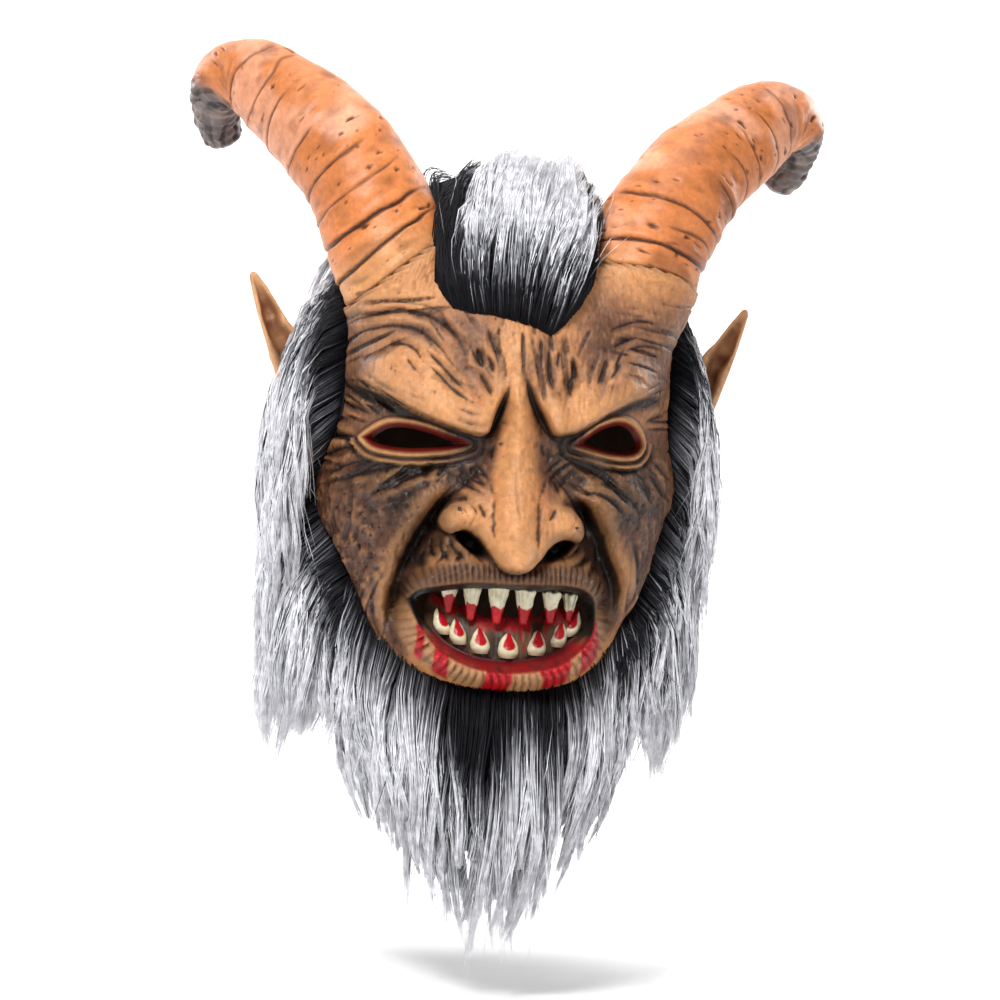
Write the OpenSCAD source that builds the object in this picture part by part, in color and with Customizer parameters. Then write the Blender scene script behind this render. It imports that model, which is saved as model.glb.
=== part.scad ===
// Over-the-head devil mask of moulded latex: scowling face with open eye holes and an open
// toothed mouth, two curled ram horns, two pointed ears, and long pile fur all round.
// Millimetres, +Z up, face towards -Y. The origin is inside the head, midway between the ears
// at the height of the eye holes. Left is -X and right is +X, as seen from the front.

/* [Head] */
// Half-width of the head shell at the temples
head_half_w = 82; // [78:1:86]
// Depth of the head shell in front of the ears
head_front = 87; // [84:1:90]
// Depth of the head shell behind the ears
head_back = 103; // [96:1:110]
// Height of the crown above the eye line
crown_z = 118; // [114:1:122]
// Drop of the neck edge below the eye line
neck_drop = 150; // [146:1:156]
// Thickness of the latex skin, measured level
skin_t = 4; // [3:0.5:5]

/* [Face] */
// Height of the brow ridges over the forehead
brow_h = 9; // [5:1:12]
// Reach of the nose tip in front of the face
nose_h = 31; // [26:1:34]
// Width of each eye hole
eye_w = 33; // [28:1:36]
// Height of each eye hole
eye_h = 13; // [10:1:15]
// Width of the mouth opening
mouth_w = 66; // [60:1:70]

/* [Horns] */
// Radius of a horn at its root
horn_root_r = 28; // [26:1:29]
// Radius of a horn at its blunt tip
horn_tip_r = 8; // [6:1:10]
// Wall of the horn's latex shell
horn_wall = 3; // [2:0.5:4]

/* [Ears] */
// Length of an ear from its root to its tip
ear_len = 80; // [72:1:84]
// Half-width of an ear at its widest
ear_half_w = 13; // [11:1:15]
// Thickness of an ear
ear_t = 3; // [2:0.5:4]

/* [Fur] */
// Half-width across the side fur
fur_half_w = 106; // [102:1:110]
// Depth of the fur behind the ears
fur_back = 124; // [120:1:130]
// Length of the side and back fur below the eye line
fur_drop = 147; // [140:1:156]
// Pile height on the crown
crown_pile = 20; // [16:1:24]
// Length of the beard below the chin
beard_len = 108; // [96:1:120]

/* [Hidden] */

skin_c = "peru";
horn_c = "sandybrown";
gum_c = "darksalmon";
tooth_c = "ivory";
foam_c = "khaki";
black_fur_c = "dimgray";
white_fur_c = "gainsboro";

gap = 0.5;            // clearance between pieces that lie on each other
seam_y = -20;         // upright plane where the face meets the hood
brow_z = 20;          // height where the dome of the head starts
dome_rows = 11;       // rows of facets in the dome
side_rows = 27;       // rows of facets from the neck to the brow
columns = 56;         // facets round the head
section_power = 2.15; // roundness of the level sections, 2 is an ellipse
neck_run = 5;         // how far the room in the head is cut past the neck edge
far = 300;            // reach of a cutter past everything

// ---- level sections of the head --------------------------------------------------------

// Height as a share of the neck drop, then half-width, front and back as shares of the head's
LEVELS = [
    [-1.00, 0.76, 0.65, 0.74], [-0.86, 0.75, 0.69, 0.74], [-0.77, 0.76, 0.93, 0.76],
    [-0.69, 0.80, 1.04, 0.78], [-0.60, 0.84, 1.04, 0.82], [-0.467, 0.91, 1.01, 0.88],
    [-0.267, 0.975, 0.99, 0.95], [-0.067, 1.00, 0.98, 1.00], [brow_z / neck_drop, 1, 1, 1]];

// Height of the fur's outside as a share of the fur's drop, then half-width and front as shares
// of its half-width, and back as a share of its back
FUR_LEVELS = [
    [-1.00, 0.88, 0.80, 0.80], [-0.92, 0.93, 0.84, 0.86], [-0.715, 0.96, 0.93, 0.91],
    [-0.41, 0.97, 0.98, 0.96], [-0.07, 1.00, 1.00, 1.00], [0.135, 0.99, 1.00, 1.00],
    [0.265, 0.95, 0.97, 0.98], [0.45, 0.86, 0.90, 0.91]];

// A smooth curve through the rows of table T, at place s counted in rows
function along(T, s) =
    let (i = min(floor(s), len(T) - 2), f = s - i,
         p0 = T[max(i - 1, 0)], p1 = T[i], p2 = T[i + 1], p3 = T[min(i + 2, len(T) - 1)])
    0.5 * (2 * p1 + (p2 - p0) * f + (2 * p0 - 5 * p1 + 4 * p2 - p3) * f * f
           + (3 * p1 - p0 - 3 * p2 + p3) * f * f * f);

// Distance from the axis to a level section of half-width a, front f and back b, at angle
// phi counted from the front towards +X
function section_r(phi, a, f, b) =
    let (depth = cos(phi) > 0 ? f : b, p = section_power)
    pow(pow(abs(sin(phi)) / a, p) + pow(abs(cos(phi)) / depth, p), -1 / p);

function at(phi, r, z) = [r * sin(phi), -r * cos(phi), z];
function bump(x, z, cx, cz, sx, sz) = exp(-pow((x - cx) / sx, 2) - pow((z - cz) / sz, 2));
function ramp(t) = t <= 0 ? 0 : t >= 1 ? 1 : t * t * (3 - 2 * t);

// ---- relief of the face -----------------------------------------------------------------

nose_top_z = 12;
nose_tip_z = -57;
bridge_share = 0.22; // height of the nose's bridge, as a share of its tip's
bridge_w = 9;        // half-spread of the bridge
nose_grow = 12;      // how much wider the nose is at its wings
mouth_x = 2;
mouth_z = -84;

function nose_height(z) =
    let (down = (nose_top_z - z) / (nose_top_z - nose_tip_z))
    nose_h * (bridge_share + (1 - bridge_share) * pow(max(down, 0), 1.5)) * ramp((z - nose_tip_z + 8) / 9)
    * ramp((nose_top_z + 16 - z) / 16);
function nose_width(z) = bridge_w + nose_grow * ramp((5 - z) / 50);

// Rise, place out from the middle, height and half-spreads of what the face has in pairs:
// brow ridges, eye sockets, cheeks
PAIRED_BUMPS = [[brow_h, 30, 20, 24, 10], [-7, 45, -3, 19, 11], [6, 50, -32, 16, 16]];
// The same for what it has once: muzzle, chin
MIDDLE_BUMPS = [[8, 0, mouth_z, 40, 22], [4, 0, -106, 20, 9]];

function bumps(T, x, z, i = 0) = i == len(T) ? 0
    : T[i][0] * bump(x, z, T[i][1], T[i][2], T[i][3], T[i][4]) + bumps(T, x, z, i + 1);
function relief(x, z) =
    bumps(PAIRED_BUMPS, abs(x), z) + bumps(MIDDLE_BUMPS, x, z)
    + nose_height(z) * exp(-pow(x / nose_width(z), 2));

// ---- surfaces ---------------------------------------------------------------------------

// One ring of points round the head, inset from the skin's outside
function skin_ring(z, a, f, b, inset) =
    [for (i = [0:columns - 1])
        let (phi = 360 * i / columns, r = section_r(phi, a, f, b),
             up = cos(phi) > 0 ? relief(r * sin(phi), z) * ramp(cos(phi) * 3) : 0)
        at(phi, r + up - inset, z)];

// Rings from the neck edge to just under the crown
function skin_rings(inset) = concat(
    [for (i = [0:side_rows])
        let (l = along(LEVELS, i * (len(LEVELS) - 1) / side_rows))
        skin_ring(l[0] * neck_drop, l[1] * head_half_w, l[2] * head_front,
                  l[3] * head_back, inset)],
    [for (i = [1:dome_rows - 1])
        let (turn = 90 * i / dome_rows, k = cos(turn))
        skin_ring(brow_z + (crown_z - inset - brow_z) * sin(turn), k * head_half_w,
                  k * head_front, k * head_back, inset)]);

// A solid of rings closed by a flat bottom and a pole
module domed(rings, pole_z) {
    n = len(rings[0]);
    last = len(rings) - 1;
    points = concat([for (ring = rings) each ring], [[0, 0, pole_z]]);
    walls = [for (r = [0:last - 1], c = [0:n - 1])
        let (d = (c + 1) % n, a = r * n + c, b = r * n + d)
        each [[a, a + n, b], [b, a + n, b + n]]];
    top = [for (c = [0:n - 1]) [last * n + c, last * n + n, last * n + (c + 1) % n]];
    polyhedron(points, concat([[for (c = [0:n - 1]) c]], walls, top), convexity = 6);
}

// A solid of rings closed at both ends by flat faces
module lofted(rings) {
    n = len(rings[0]);
    last = len(rings) - 1;
    walls = [for (r = [0:last - 1], c = [0:n - 1])
        let (d = (c + 1) % n, a = r * n + c, b = r * n + d)
        each [[a, a + n, b], [b, a + n, b + n]]];
    top = [for (c = [n - 1:-1:0]) last * n + c];
    polyhedron([for (ring = rings) each ring], concat([[for (c = [0:n - 1]) c]], walls, [top]),
               convexity = 6);
}

module head_outside() domed(skin_rings(0), crown_z);
// The room inside the skin, which runs out past the neck edge
module head_inside() {
    rings = skin_rings(skin_t);
    below = [for (p = rings[0]) p - [0, 0, neck_run]];
    domed(concat([below], rings), crown_z - skin_t);
}
// The head grown by the gap, which fur and horns stand on
module head_clear() {
    domed(skin_rings(-gap), crown_z + gap);
}

// A bent tube of rings round the points of a path, with one radius at each point
function unit(v) = v / norm(v);
function tube_rings(path, radii, sides, ref) =
    let (last = len(path) - 1)
    [for (i = [0:last])
        let (t = unit(path[min(i + 1, last)] - path[max(i - 1, 0)]),
             u = unit(cross(ref, t)), v = cross(t, u))
        [for (k = [0:sides - 1])
            let (turn = 360 * k / sides)
            path[i] + radii[i] * (cos(turn) * u + sin(turn) * v)]];

// ---- latex shells -----------------------------------------------------------------------

eye_x = 46;
eye_slant = 2.5;    // how far the eye's inner corner lies under its middle
eye_corner_r = 3;   // radius of its outer corner
mouth_up = 14;      // height of the mouth over its middle line
mouth_down = 16;    // depth under it

// Eye opening on one side, slanting down towards the nose
module eye_hole(side) {
    inner_r = eye_h / 2 - 1.5;
    hull() {
        translate([side * (eye_x - eye_w / 2 + inner_r), 0, -eye_slant]) rotate([90, 0, 0])
            cylinder(h = far, r = inner_r, $fn = 16);
        translate([side * eye_x, 0, 0]) rotate([90, 0, 0])
            cylinder(h = far, r = eye_h / 2, $fn = 20);
        translate([side * (eye_x + eye_w / 2 - eye_corner_r), 0, 2]) rotate([90, 0, 0])
            cylinder(h = far, r = eye_corner_r, $fn = 12);
    }
}

// Mouth opening: a flat upper edge over a deeper lower edge
module mouth_hole() {
    half = mouth_w / 2;
    translate([mouth_x, 0, mouth_z]) rotate([90, 0, 0]) linear_extrude(far)
        polygon([for (i = [0:31])
            let (turn = 360 * i / 32, x = half * cos(turn), y = sin(turn))
            [x, y > 0 ? mouth_up * pow(y, 0.7) : -mouth_down * pow(-y, 0.8)]]);
}

module head_shell() {
    difference() {
        head_outside();
        head_inside();
    }
}

module face_skin() color(skin_c) resize([0, 0, 0]) difference() {
    head_shell();
    translate([-far, seam_y, -far]) cube(2 * far);
    eye_hole(-1);
    eye_hole(1);
    mouth_hole();
}

module hood() color(skin_c) resize([0, 0, 0]) intersection() {
    head_shell();
    translate([-far, seam_y, -far]) cube(2 * far);
}

// ---- mouth ------------------------------------------------------------------------------

gum_r = 4.5;
gum_sides = 10;
gum_steps = 14;
gum_half_w = 36;
tooth_back = 0.5;     // how far an upper tooth sits behind the middle of its gum
upper_blunt = 0.45;   // radius of an upper tooth's tip, as a share of its root's
lower_tip_r = 0.8;    // radius of a lower tooth's tip
tooth_sunk = 2;       // how far a lower tooth's root is sunk in its gum

// Front of the gum arch at x, from the middle of the mouth
function arch_y(x) = -89 + x * x / 95;
function lower_arch_z(x) = -103 + x * x / 85;
upper_arch_z = -66;

module gum(z_of) {
    path = [for (i = [0:gum_steps])
        let (x = gum_half_w * (2 * i / gum_steps - 1))
        [mouth_x + x, arch_y(x) + gum_r, z_of(x)]];
    lofted(tube_rings(path, [for (p = path) gum_r], gum_sides, [0, 0, 1]));
}
module upper_gum() color(gum_c) gum(function (x) upper_arch_z);
module lower_gum() color(gum_c) gum(function (x) lower_arch_z(x));

// Place from the mouth's middle, half-width and length of each tooth
UPPER_TEETH = [[-26, 3.8, 14], [-16, 4.2, 16], [-5, 5, 16], [7, 4.8, 16], [18.5, 4.3, 16],
               [28.5, 3.5, 14]];
LOWER_TEETH = [[-28, 2.6, 9], [-20.5, 2.9, 10], [-11, 3, 11], [1, 3.2, 11], [13, 3, 11],
               [23, 2.9, 10], [30, 2.6, 9]];

module upper_tooth(i) {
    t = UPPER_TEETH[i];
    color(tooth_c) translate([mouth_x + t[0], arch_y(t[0]) + gum_r + tooth_back, upper_arch_z])
        rotate([180, 0, 0]) cylinder(h = t[2], r1 = t[1], r2 = t[1] * upper_blunt, $fn = 24);
}
module lower_tooth(i) {
    t = LOWER_TEETH[i];
    color(tooth_c) translate([mouth_x + t[0], arch_y(t[0]) + gum_r, lower_arch_z(t[0])])
        cylinder(h = t[2] + tooth_sunk, r1 = t[1], r2 = lower_tip_r, $fn = 24);
}

// ---- horns ------------------------------------------------------------------------------

horn_steps = 26;
horn_sides = 16;
horn_plane = unit([-34, -4, 15]); // upright to the plane that the horn curls in

// The middle of the right horn from inside its root to its tip
HORN_PATH = [[45, -42, 53], [57, -38, 80], [70, -32, 108], [85, -22, 130], [105, -8, 148],
             [124, 6, 162], [138, 17, 160], [140, 30, 147], [134, 41, 133]];
// Radius there, as a share of the way from the tip's to the root's
HORN_TAPER = [[1], [1], [0.95], [0.87], [0.74], [0.54], [0.33], [0.16], [0.02]];
RING_PLACES = [0.13, 0.2, 0.28, 0.36, 0.45, 0.55]; // creases round the horn, along its length
crease_depth = 1.6;
crease_half_w = 0.014;     // half-width of a crease, as a share of the horn's length
horn_room = 2.5;             // room that the crown fur leaves round a horn

function horn_crease(s) =
    -crease_depth * max([for (c = RING_PLACES) exp(-pow((s - c) / crease_half_w, 2))]);
function horn_points() = [for (i = [0:horn_steps])
    along(HORN_PATH, i * (len(HORN_PATH) - 1) / horn_steps)];
function horn_radii(inset) = [for (i = [0:horn_steps])
    let (s = i / horn_steps,
         share = along(HORN_TAPER, s * (len(HORN_TAPER) - 1))[0])
    max(horn_tip_r + (horn_root_r - horn_tip_r) * share + horn_crease(s) - inset, 1.5)];

module horn_solid(inset, short = 0) {
    points = horn_points();
    keep = len(points) - 1 - short;
    lofted(tube_rings([for (i = [0:keep]) points[i]], [for (i = [0:keep]) horn_radii(inset)[i]],
                      horn_sides, horn_plane));
}

module horn_shell(side) color(horn_c) resize([0, 0, 0]) mirror([side < 0 ? 1 : 0, 0, 0])
    difference() {
        horn_solid(0);
        horn_solid(horn_wall, 1);
        head_clear();
    }
module horn_core(side) color(foam_c) resize([0, 0, 0]) mirror([side < 0 ? 1 : 0, 0, 0])
    difference() {
        horn_solid(horn_wall + gap, 2);
        head_clear();
    }
module left_horn_shell() horn_shell(-1);
module right_horn_shell() horn_shell(1);
module left_horn_core() horn_core(-1);
module right_horn_core() horn_core(1);

// ---- ears -------------------------------------------------------------------------------

ear_root = [83, -2, 0];
ear_tip_dir = unit([38, 7, 71]);
ear_out = unit([-0.25, -0.95, 0.2]); // the way the hollow of the ear faces
ear_rows = 10;
ear_steps = 8;
ear_blunt = 1.5; // half-width left at the ear's tip
ear_hollow = 6;  // how far the ear's edges stand out over its middle
ear_room_r = 3;  // room that the fur leaves round the ear

function ear_half(t) = ear_blunt + (ear_half_w - ear_blunt) * (1 - pow(t, 1.6)) * ramp(t * 3 + 0.5);
// Point of the ear at share t of its length and share u across it, from -1 to 1
function ear_point(t, u, lift) =
    let (side = unit(cross(ear_tip_dir, ear_out)), out = cross(side, ear_tip_dir),
         hollow = ear_hollow * u * u * (1 - t))
    ear_root + ear_len * t * ear_tip_dir + ear_half(t) * u * side + (hollow + lift) * out;

module ear_blade() {
    function ring(t) = concat(
        [for (i = [0:ear_steps]) ear_point(t, 2 * i / ear_steps - 1, ear_t)],
        [for (i = [ear_steps:-1:0]) ear_point(t, 2 * i / ear_steps - 1, 0)]);
    lofted([for (r = [0:ear_rows]) ring(r / ear_rows)]);
}
module ear(side) color(skin_c) resize([0, 0, 0]) mirror([side < 0 ? 1 : 0, 0, 0])
    difference() {
        ear_blade();
        head_clear();
    }
module left_ear() ear(-1);
module right_ear() ear(1);

// ---- fur --------------------------------------------------------------------------------

face_edge = 77;    // angle of the face's edge from the front
side_end = 138;    // angle where the side fur meets the back fur
fur_top_z = 60;    // height where the crown fur takes over
fur_rows = 15;
edge_share = 0.9;  // fullness of the fur at the face's edge
edge_turn = 20;    // angle from there to where it is full
crown_front = 4;   // how far the crown fur stays behind the forehead
crown_low = 24;    // angle up the dome where the crown fur's outside starts

// Outside of the fur: thin along the face's edge and full further back
function fur_ring(s) =
    let (l = along(FUR_LEVELS, s))
    [for (i = [0:columns - 1])
        let (phi = 360 * i / columns, back = abs(phi > 180 ? phi - 360 : phi),
             full = section_r(phi, l[1] * fur_half_w, l[2] * fur_half_w, l[3] * fur_back))
        at(phi, full * (edge_share + (1 - edge_share) * ramp((back - face_edge) / edge_turn)),
           l[0] * fur_drop)];

// A standing wedge from angle a to angle b
module sector(a, b) {
    linear_extrude(2 * far, center = true)
        polygon(concat([[0, 0]], [for (i = [0:6])
            let (phi = a + (b - a) * i / 6) [far * sin(phi), -far * cos(phi)]]));
}

module fur_band() {
    difference() {
        lofted([for (i = [0:fur_rows]) fur_ring(i * (len(FUR_LEVELS) - 1) / fur_rows)]);
        head_clear();
        translate([-far, -far, fur_top_z]) cube(2 * far);
    }
}

// Room that the fur leaves for the ear
module ear_room() {
    hull() for (share = [-0.1, 0.75])
        translate(ear_root + share * ear_len * ear_tip_dir) sphere(r = ear_half_w + ear_room_r, $fn = 16);
}

module side_fur(side) color(black_fur_c) resize([0, 0, 0]) mirror([side < 0 ? 1 : 0, 0, 0])
    difference() {
        intersection() {
            fur_band();
            sector(face_edge, side_end - 0.5);
        }
        ear_room();
        horn_solid(-horn_room);
    }
module left_side_fur() side_fur(-1);
module right_side_fur() side_fur(1);

module back_fur() color(white_fur_c) resize([0, 0, 0]) intersection() {
    fur_band();
    sector(side_end, 360 - side_end);
}

// Cap of fur over the crown, highest at the tuft between the horns
module crown_fur() color(white_fur_c) resize([0, 0, 0]) difference() {
    grow = fur_half_w * edge_share / head_half_w;
    domed([for (i = [0:dome_rows - 1])
        let (turn = crown_low + (90 - crown_low) * i / dome_rows, k = cos(turn) * grow)
        [for (c = [0:columns - 1])
            let (phi = 360 * c / columns)
            at(phi, section_r(phi, k * head_half_w, k * (head_front - crown_front), k * head_back),
               brow_z + (crown_z + crown_pile - brow_z) * sin(turn))]], crown_z + crown_pile);
    head_clear();
    translate([-far, -far, fur_top_z + gap - 2 * far]) cube(2 * far);
    for (m = [0, 1]) mirror([m, 0, 0]) horn_solid(-horn_room);
}

// ---- beard ------------------------------------------------------------------------------

beard_y = -84;      // the beard hangs straight down from here
chin_z = -120;      // under the chin, where the beard folds at its backing
beard_x = 3;
beard_sides = 20;
strip_h = 7;
strip_half_w = 30;
strip_share = 0.36; // the strip's half-depth as a share of its half-width
strip_back = 4;     // how far its middle lies behind the beard's
fold_gap = 1;       // between the strip and the beard

// Drop as a share of the beard's length, half-width and half-depth
BEARD = [[0.02, 26, 4], [0.08, 36, 8], [0.22, 50, 14], [0.40, 60, 17], [0.58, 66, 18],
         [0.76, 58, 16], [0.90, 38, 12], [1.00, 12, 5]];

module beard_fur() color(black_fur_c)
    lofted([for (r = [len(BEARD) - 1:-1:0])
        let (b = BEARD[r])
        [for (k = [0:beard_sides - 1])
            let (turn = 360 * k / beard_sides)
            [beard_x + b[1] * cos(turn), beard_y + b[2] * sin(turn),
             chin_z - fold_gap - beard_len * b[0]]]]);

// Woven backing of the beard, glued under the chin
module beard_strip() color(black_fur_c) resize([0, 0, 0]) difference() {
    translate([beard_x, beard_y + strip_back, chin_z]) scale([1, strip_share, 1])
        cylinder(h = strip_h, r = strip_half_w, $fn = 40);
    head_clear();
}

face_skin();
hood();
upper_gum();
lower_gum();
for (i = [0:5])
    upper_tooth(i);
for (i = [0:6])
    lower_tooth(i);
left_horn_shell();
right_horn_shell();
left_horn_core();
right_horn_core();
left_ear();
right_ear();
crown_fur();
left_side_fur();
right_side_fur();
back_fur();
beard_strip();
beard_fur();
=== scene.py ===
"""Looks of a horned devil mask: sculpted latex face, ringed horns, hollow ears, painted teeth
and long two-tone fur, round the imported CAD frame. Numbers are millimetres unless said."""

import math

import bpy
import numpy as np
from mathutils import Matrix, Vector


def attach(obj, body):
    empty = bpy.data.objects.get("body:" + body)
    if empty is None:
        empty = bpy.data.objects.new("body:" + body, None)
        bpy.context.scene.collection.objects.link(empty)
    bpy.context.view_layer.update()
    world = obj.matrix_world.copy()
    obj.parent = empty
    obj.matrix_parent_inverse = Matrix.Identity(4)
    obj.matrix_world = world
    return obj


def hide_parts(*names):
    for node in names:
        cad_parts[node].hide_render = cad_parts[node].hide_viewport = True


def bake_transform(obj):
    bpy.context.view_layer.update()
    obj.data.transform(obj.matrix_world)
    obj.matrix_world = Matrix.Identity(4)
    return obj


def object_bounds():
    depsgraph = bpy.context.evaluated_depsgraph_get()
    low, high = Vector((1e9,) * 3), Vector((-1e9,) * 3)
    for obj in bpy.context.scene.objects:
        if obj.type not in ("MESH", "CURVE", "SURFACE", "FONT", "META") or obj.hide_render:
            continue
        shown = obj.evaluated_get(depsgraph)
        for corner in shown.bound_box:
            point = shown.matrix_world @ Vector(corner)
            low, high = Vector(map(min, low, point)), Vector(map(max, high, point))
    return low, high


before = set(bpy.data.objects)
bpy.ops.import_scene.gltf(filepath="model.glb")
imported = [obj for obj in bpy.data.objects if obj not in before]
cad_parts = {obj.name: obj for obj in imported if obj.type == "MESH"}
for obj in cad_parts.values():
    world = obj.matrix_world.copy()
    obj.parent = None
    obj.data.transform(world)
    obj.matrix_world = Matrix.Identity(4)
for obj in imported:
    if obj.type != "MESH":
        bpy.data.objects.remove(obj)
cad_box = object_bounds()

MM = 0.001


# ---- small mathematics ----------------------------------------------------------------------

def unit(v):
    """Vectors along the last axis, each at length 1."""
    v = np.asarray(v, float)
    return v / np.maximum(np.linalg.norm(v, axis=-1, keepdims=True), 1e-9)


def ramp(t):
    """0 below 0, 1 above 1, smooth between."""
    t = np.clip(t, 0, 1)
    return t * t * (3 - 2 * t)


def spline(points, count):
    """count points, evenly spaced, on a smooth curve through the given ones."""
    p = np.asarray(points, float)
    p = np.concatenate([[2 * p[0] - p[1]], p, [2 * p[-1] - p[-2]]])
    s = np.linspace(0, len(p) - 3, 24 * (len(p) - 3) + 1)
    i = np.minimum(s.astype(int), len(p) - 4)
    f = (s - i)[:, None]
    a, b, c, d = p[i], p[i + 1], p[i + 2], p[i + 3]
    fine = 0.5 * (2 * b + (c - a) * f + (2 * a - 5 * b + 4 * c - d) * f**2
                  + (3 * b - a - 3 * c + d) * f**3)
    run = np.concatenate([[0], np.cumsum(np.linalg.norm(np.diff(fine, axis=0), axis=1))])
    at = np.linspace(0, run[-1], count)
    return np.stack([np.interp(at, run, fine[:, k]) for k in range(fine.shape[1])], axis=1)


def gauss_blur(field, cells):
    """A 2-D field blurred by a gaussian of that many cells."""
    reach = int(3 * cells) + 1
    k = np.exp(-0.5 * (np.arange(-reach, reach + 1) / cells) ** 2)
    k /= k.sum()
    padded = np.pad(field, reach, mode="edge")
    for axis in (0, 1):
        padded = np.apply_along_axis(lambda r: np.convolve(r, k, "same"), axis, padded)
    return padded[reach:-reach, reach:-reach]


def noise(shape, cells, rng):
    """Smooth random field of unit spread whose features are about that many cells wide."""
    rows, cols = (int(n / cells) + 4 for n in shape)
    coarse = rng.standard_normal((rows, cols))
    r = np.arange(shape[0]) / cells + 1
    c = np.arange(shape[1]) / cells + 1
    i, j = r.astype(int), c.astype(int)
    fr, fc = ramp(r - i)[:, None], ramp(c - j)[None, :]
    top = coarse[np.ix_(i, j)] * (1 - fc) + coarse[np.ix_(i, j + 1)] * fc
    low = coarse[np.ix_(i + 1, j)] * (1 - fc) + coarse[np.ix_(i + 1, j + 1)] * fc
    return top * (1 - fr) + low * fr


# ---- meshes ---------------------------------------------------------------------------------

def mesh_object(name, points, faces, colour=None, uv=None, smooth=True):
    """A mesh object from millimetre points and an array of faces with equal corner counts.
    colour is one linear RGB per point, or with a gloss from 0 to 1 as alpha; uv is one pair per
    point, kept for the bake."""
    faces = np.asarray(faces, np.int32)
    corners = faces.shape[1]
    mesh = bpy.data.meshes.new(name)
    mesh.vertices.add(len(points))
    mesh.vertices.foreach_set("co", (np.asarray(points) * MM).astype(np.float32).ravel())
    mesh.loops.add(faces.size)
    mesh.loops.foreach_set("vertex_index", faces.ravel())
    mesh.polygons.add(len(faces))
    mesh.polygons.foreach_set("loop_start", np.arange(0, faces.size, corners, dtype=np.int32))
    mesh.polygons.foreach_set("use_smooth", np.full(len(faces), smooth))
    mesh.update(calc_edges=True)
    if colour is not None:
        paint = mesh.attributes.new("paint", "FLOAT_COLOR", "POINT")
        rgba = colour if colour.shape[1] == 4 else np.insert(colour, 3, 0.5, axis=1)
        paint.data.foreach_set("color", rgba.astype(np.float32).ravel())
    if uv is not None:
        layer = mesh.uv_layers.new(name="OFBake")
        layer.uv.foreach_set("vector", np.asarray(uv)[faces.ravel()].astype(np.float32).ravel())
    obj = bpy.data.objects.new(name, mesh)
    bpy.context.scene.collection.objects.link(obj)
    return obj


def grid_faces(rows, cols, closed=False):
    """Quads of a rows by cols grid of points, closed round the columns or not."""
    r = np.arange(rows - 1)[:, None]
    c = np.arange(cols if closed else cols - 1)[None, :]
    d = (c + 1) % cols
    a, b = r * cols + c, r * cols + d
    return np.stack([a, b, b + cols, a + cols], axis=-1).reshape(-1, 4)


def compact(faces, count):
    """The points, out of count, that the faces use, and the faces numbered by them."""
    used = np.unique(faces)
    index = np.full(count, -1)
    index[used] = np.arange(len(used))
    return used, index[faces]


def tube_grid(rows, sides):
    """Share along a closed tube, as a column, and the angle round it, as a row."""
    return (np.linspace(0, 1, rows)[:, None],
            np.linspace(0, 2 * math.pi, sides, endpoint=False)[None])


def tube_uv(turn, t):
    """Places in the bake of a tube's points, from the angle round it and the share along."""
    return np.stack(np.broadcast_arrays(turn / (2 * math.pi), t), -1).reshape(-1, 2)


def grid_normals(p):
    """Unit normals of a grid of points, rows by columns."""
    return unit(np.cross(np.gradient(p, axis=1), np.gradient(p, axis=0)))


# ---- head and face --------------------------------------------------------------------------

HEAD_HALF_W, HEAD_FRONT, HEAD_BACK = 82, 87, 103
CROWN_Z, BROW_Z, NECK_DROP, SECTION_POWER = 118, 20, 150, 2.15
# Height, half-width, front depth and back depth of the head, as in the CAD
LEVELS = np.array([
    [-1.00, 0.76, 0.65, 0.74], [-0.86, 0.75, 0.69, 0.74], [-0.77, 0.76, 0.93, 0.76],
    [-0.69, 0.80, 1.04, 0.78], [-0.60, 0.84, 1.04, 0.82], [-0.467, 0.91, 1.01, 0.88],
    [-0.267, 0.975, 0.99, 0.95], [-0.067, 1.00, 0.98, 1.00], [BROW_Z / NECK_DROP, 1, 1, 1],
]) * [NECK_DROP, HEAD_HALF_W, HEAD_FRONT, HEAD_BACK]
LEVEL_CURVE = spline(LEVELS, 400)


def head_radius(phi, z):
    """Distance of the head's surface from the upright axis at angle phi from the front, towards
    +X, in radians."""
    turn = np.arcsin(np.clip((z - BROW_Z) / (CROWN_Z - BROW_Z), 0, 0.9999))
    k = np.cos(turn)
    a, front, back = (np.interp(z, LEVEL_CURVE[:, 0], LEVEL_CURVE[:, n]) * k for n in (1, 2, 3))
    depth = np.where(np.cos(phi) > 0, front, back)
    p = SECTION_POWER
    return (np.abs(np.sin(phi) / a) ** p + np.abs(np.cos(phi) / depth) ** p) ** (-1 / p)


FACE_EDGE = math.radians(80)
FACE_COLS, FACE_ROWS = 430, 450
FACE_LOW, FACE_HIGH = -138, 101
FACE_SEED = 7

phi_grid, z_grid = np.meshgrid(np.linspace(-FACE_EDGE, FACE_EDGE, FACE_COLS),
                               np.linspace(FACE_LOW, FACE_HIGH, FACE_ROWS))
radius_grid = head_radius(phi_grid, z_grid)
face_base = np.stack([radius_grid * np.sin(phi_grid), -radius_grid * np.cos(phi_grid), z_grid],
                     axis=-1)
outward = np.stack([np.sin(phi_grid), -np.cos(phi_grid), 0 * phi_grid], axis=-1)
sideways = ramp((np.abs(phi_grid) - math.radians(30)) / math.radians(45))[..., None]
face_push = unit(outward * sideways + np.array([0, -1, 0]) * (1 - sideways))
X, Z = face_base[..., 0], z_grid


def blob(x, z, wide, high, turn=0):
    """A smooth round swelling of height 1 on the face, turned anticlockwise by degrees."""
    c, s = math.cos(math.radians(turn)), math.sin(math.radians(turn))
    dx, dz = X - x, Z - z
    return np.exp(-(((dx * c + dz * s) / wide) ** 2) - ((dz * c - dx * s) / high) ** 2)


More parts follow.
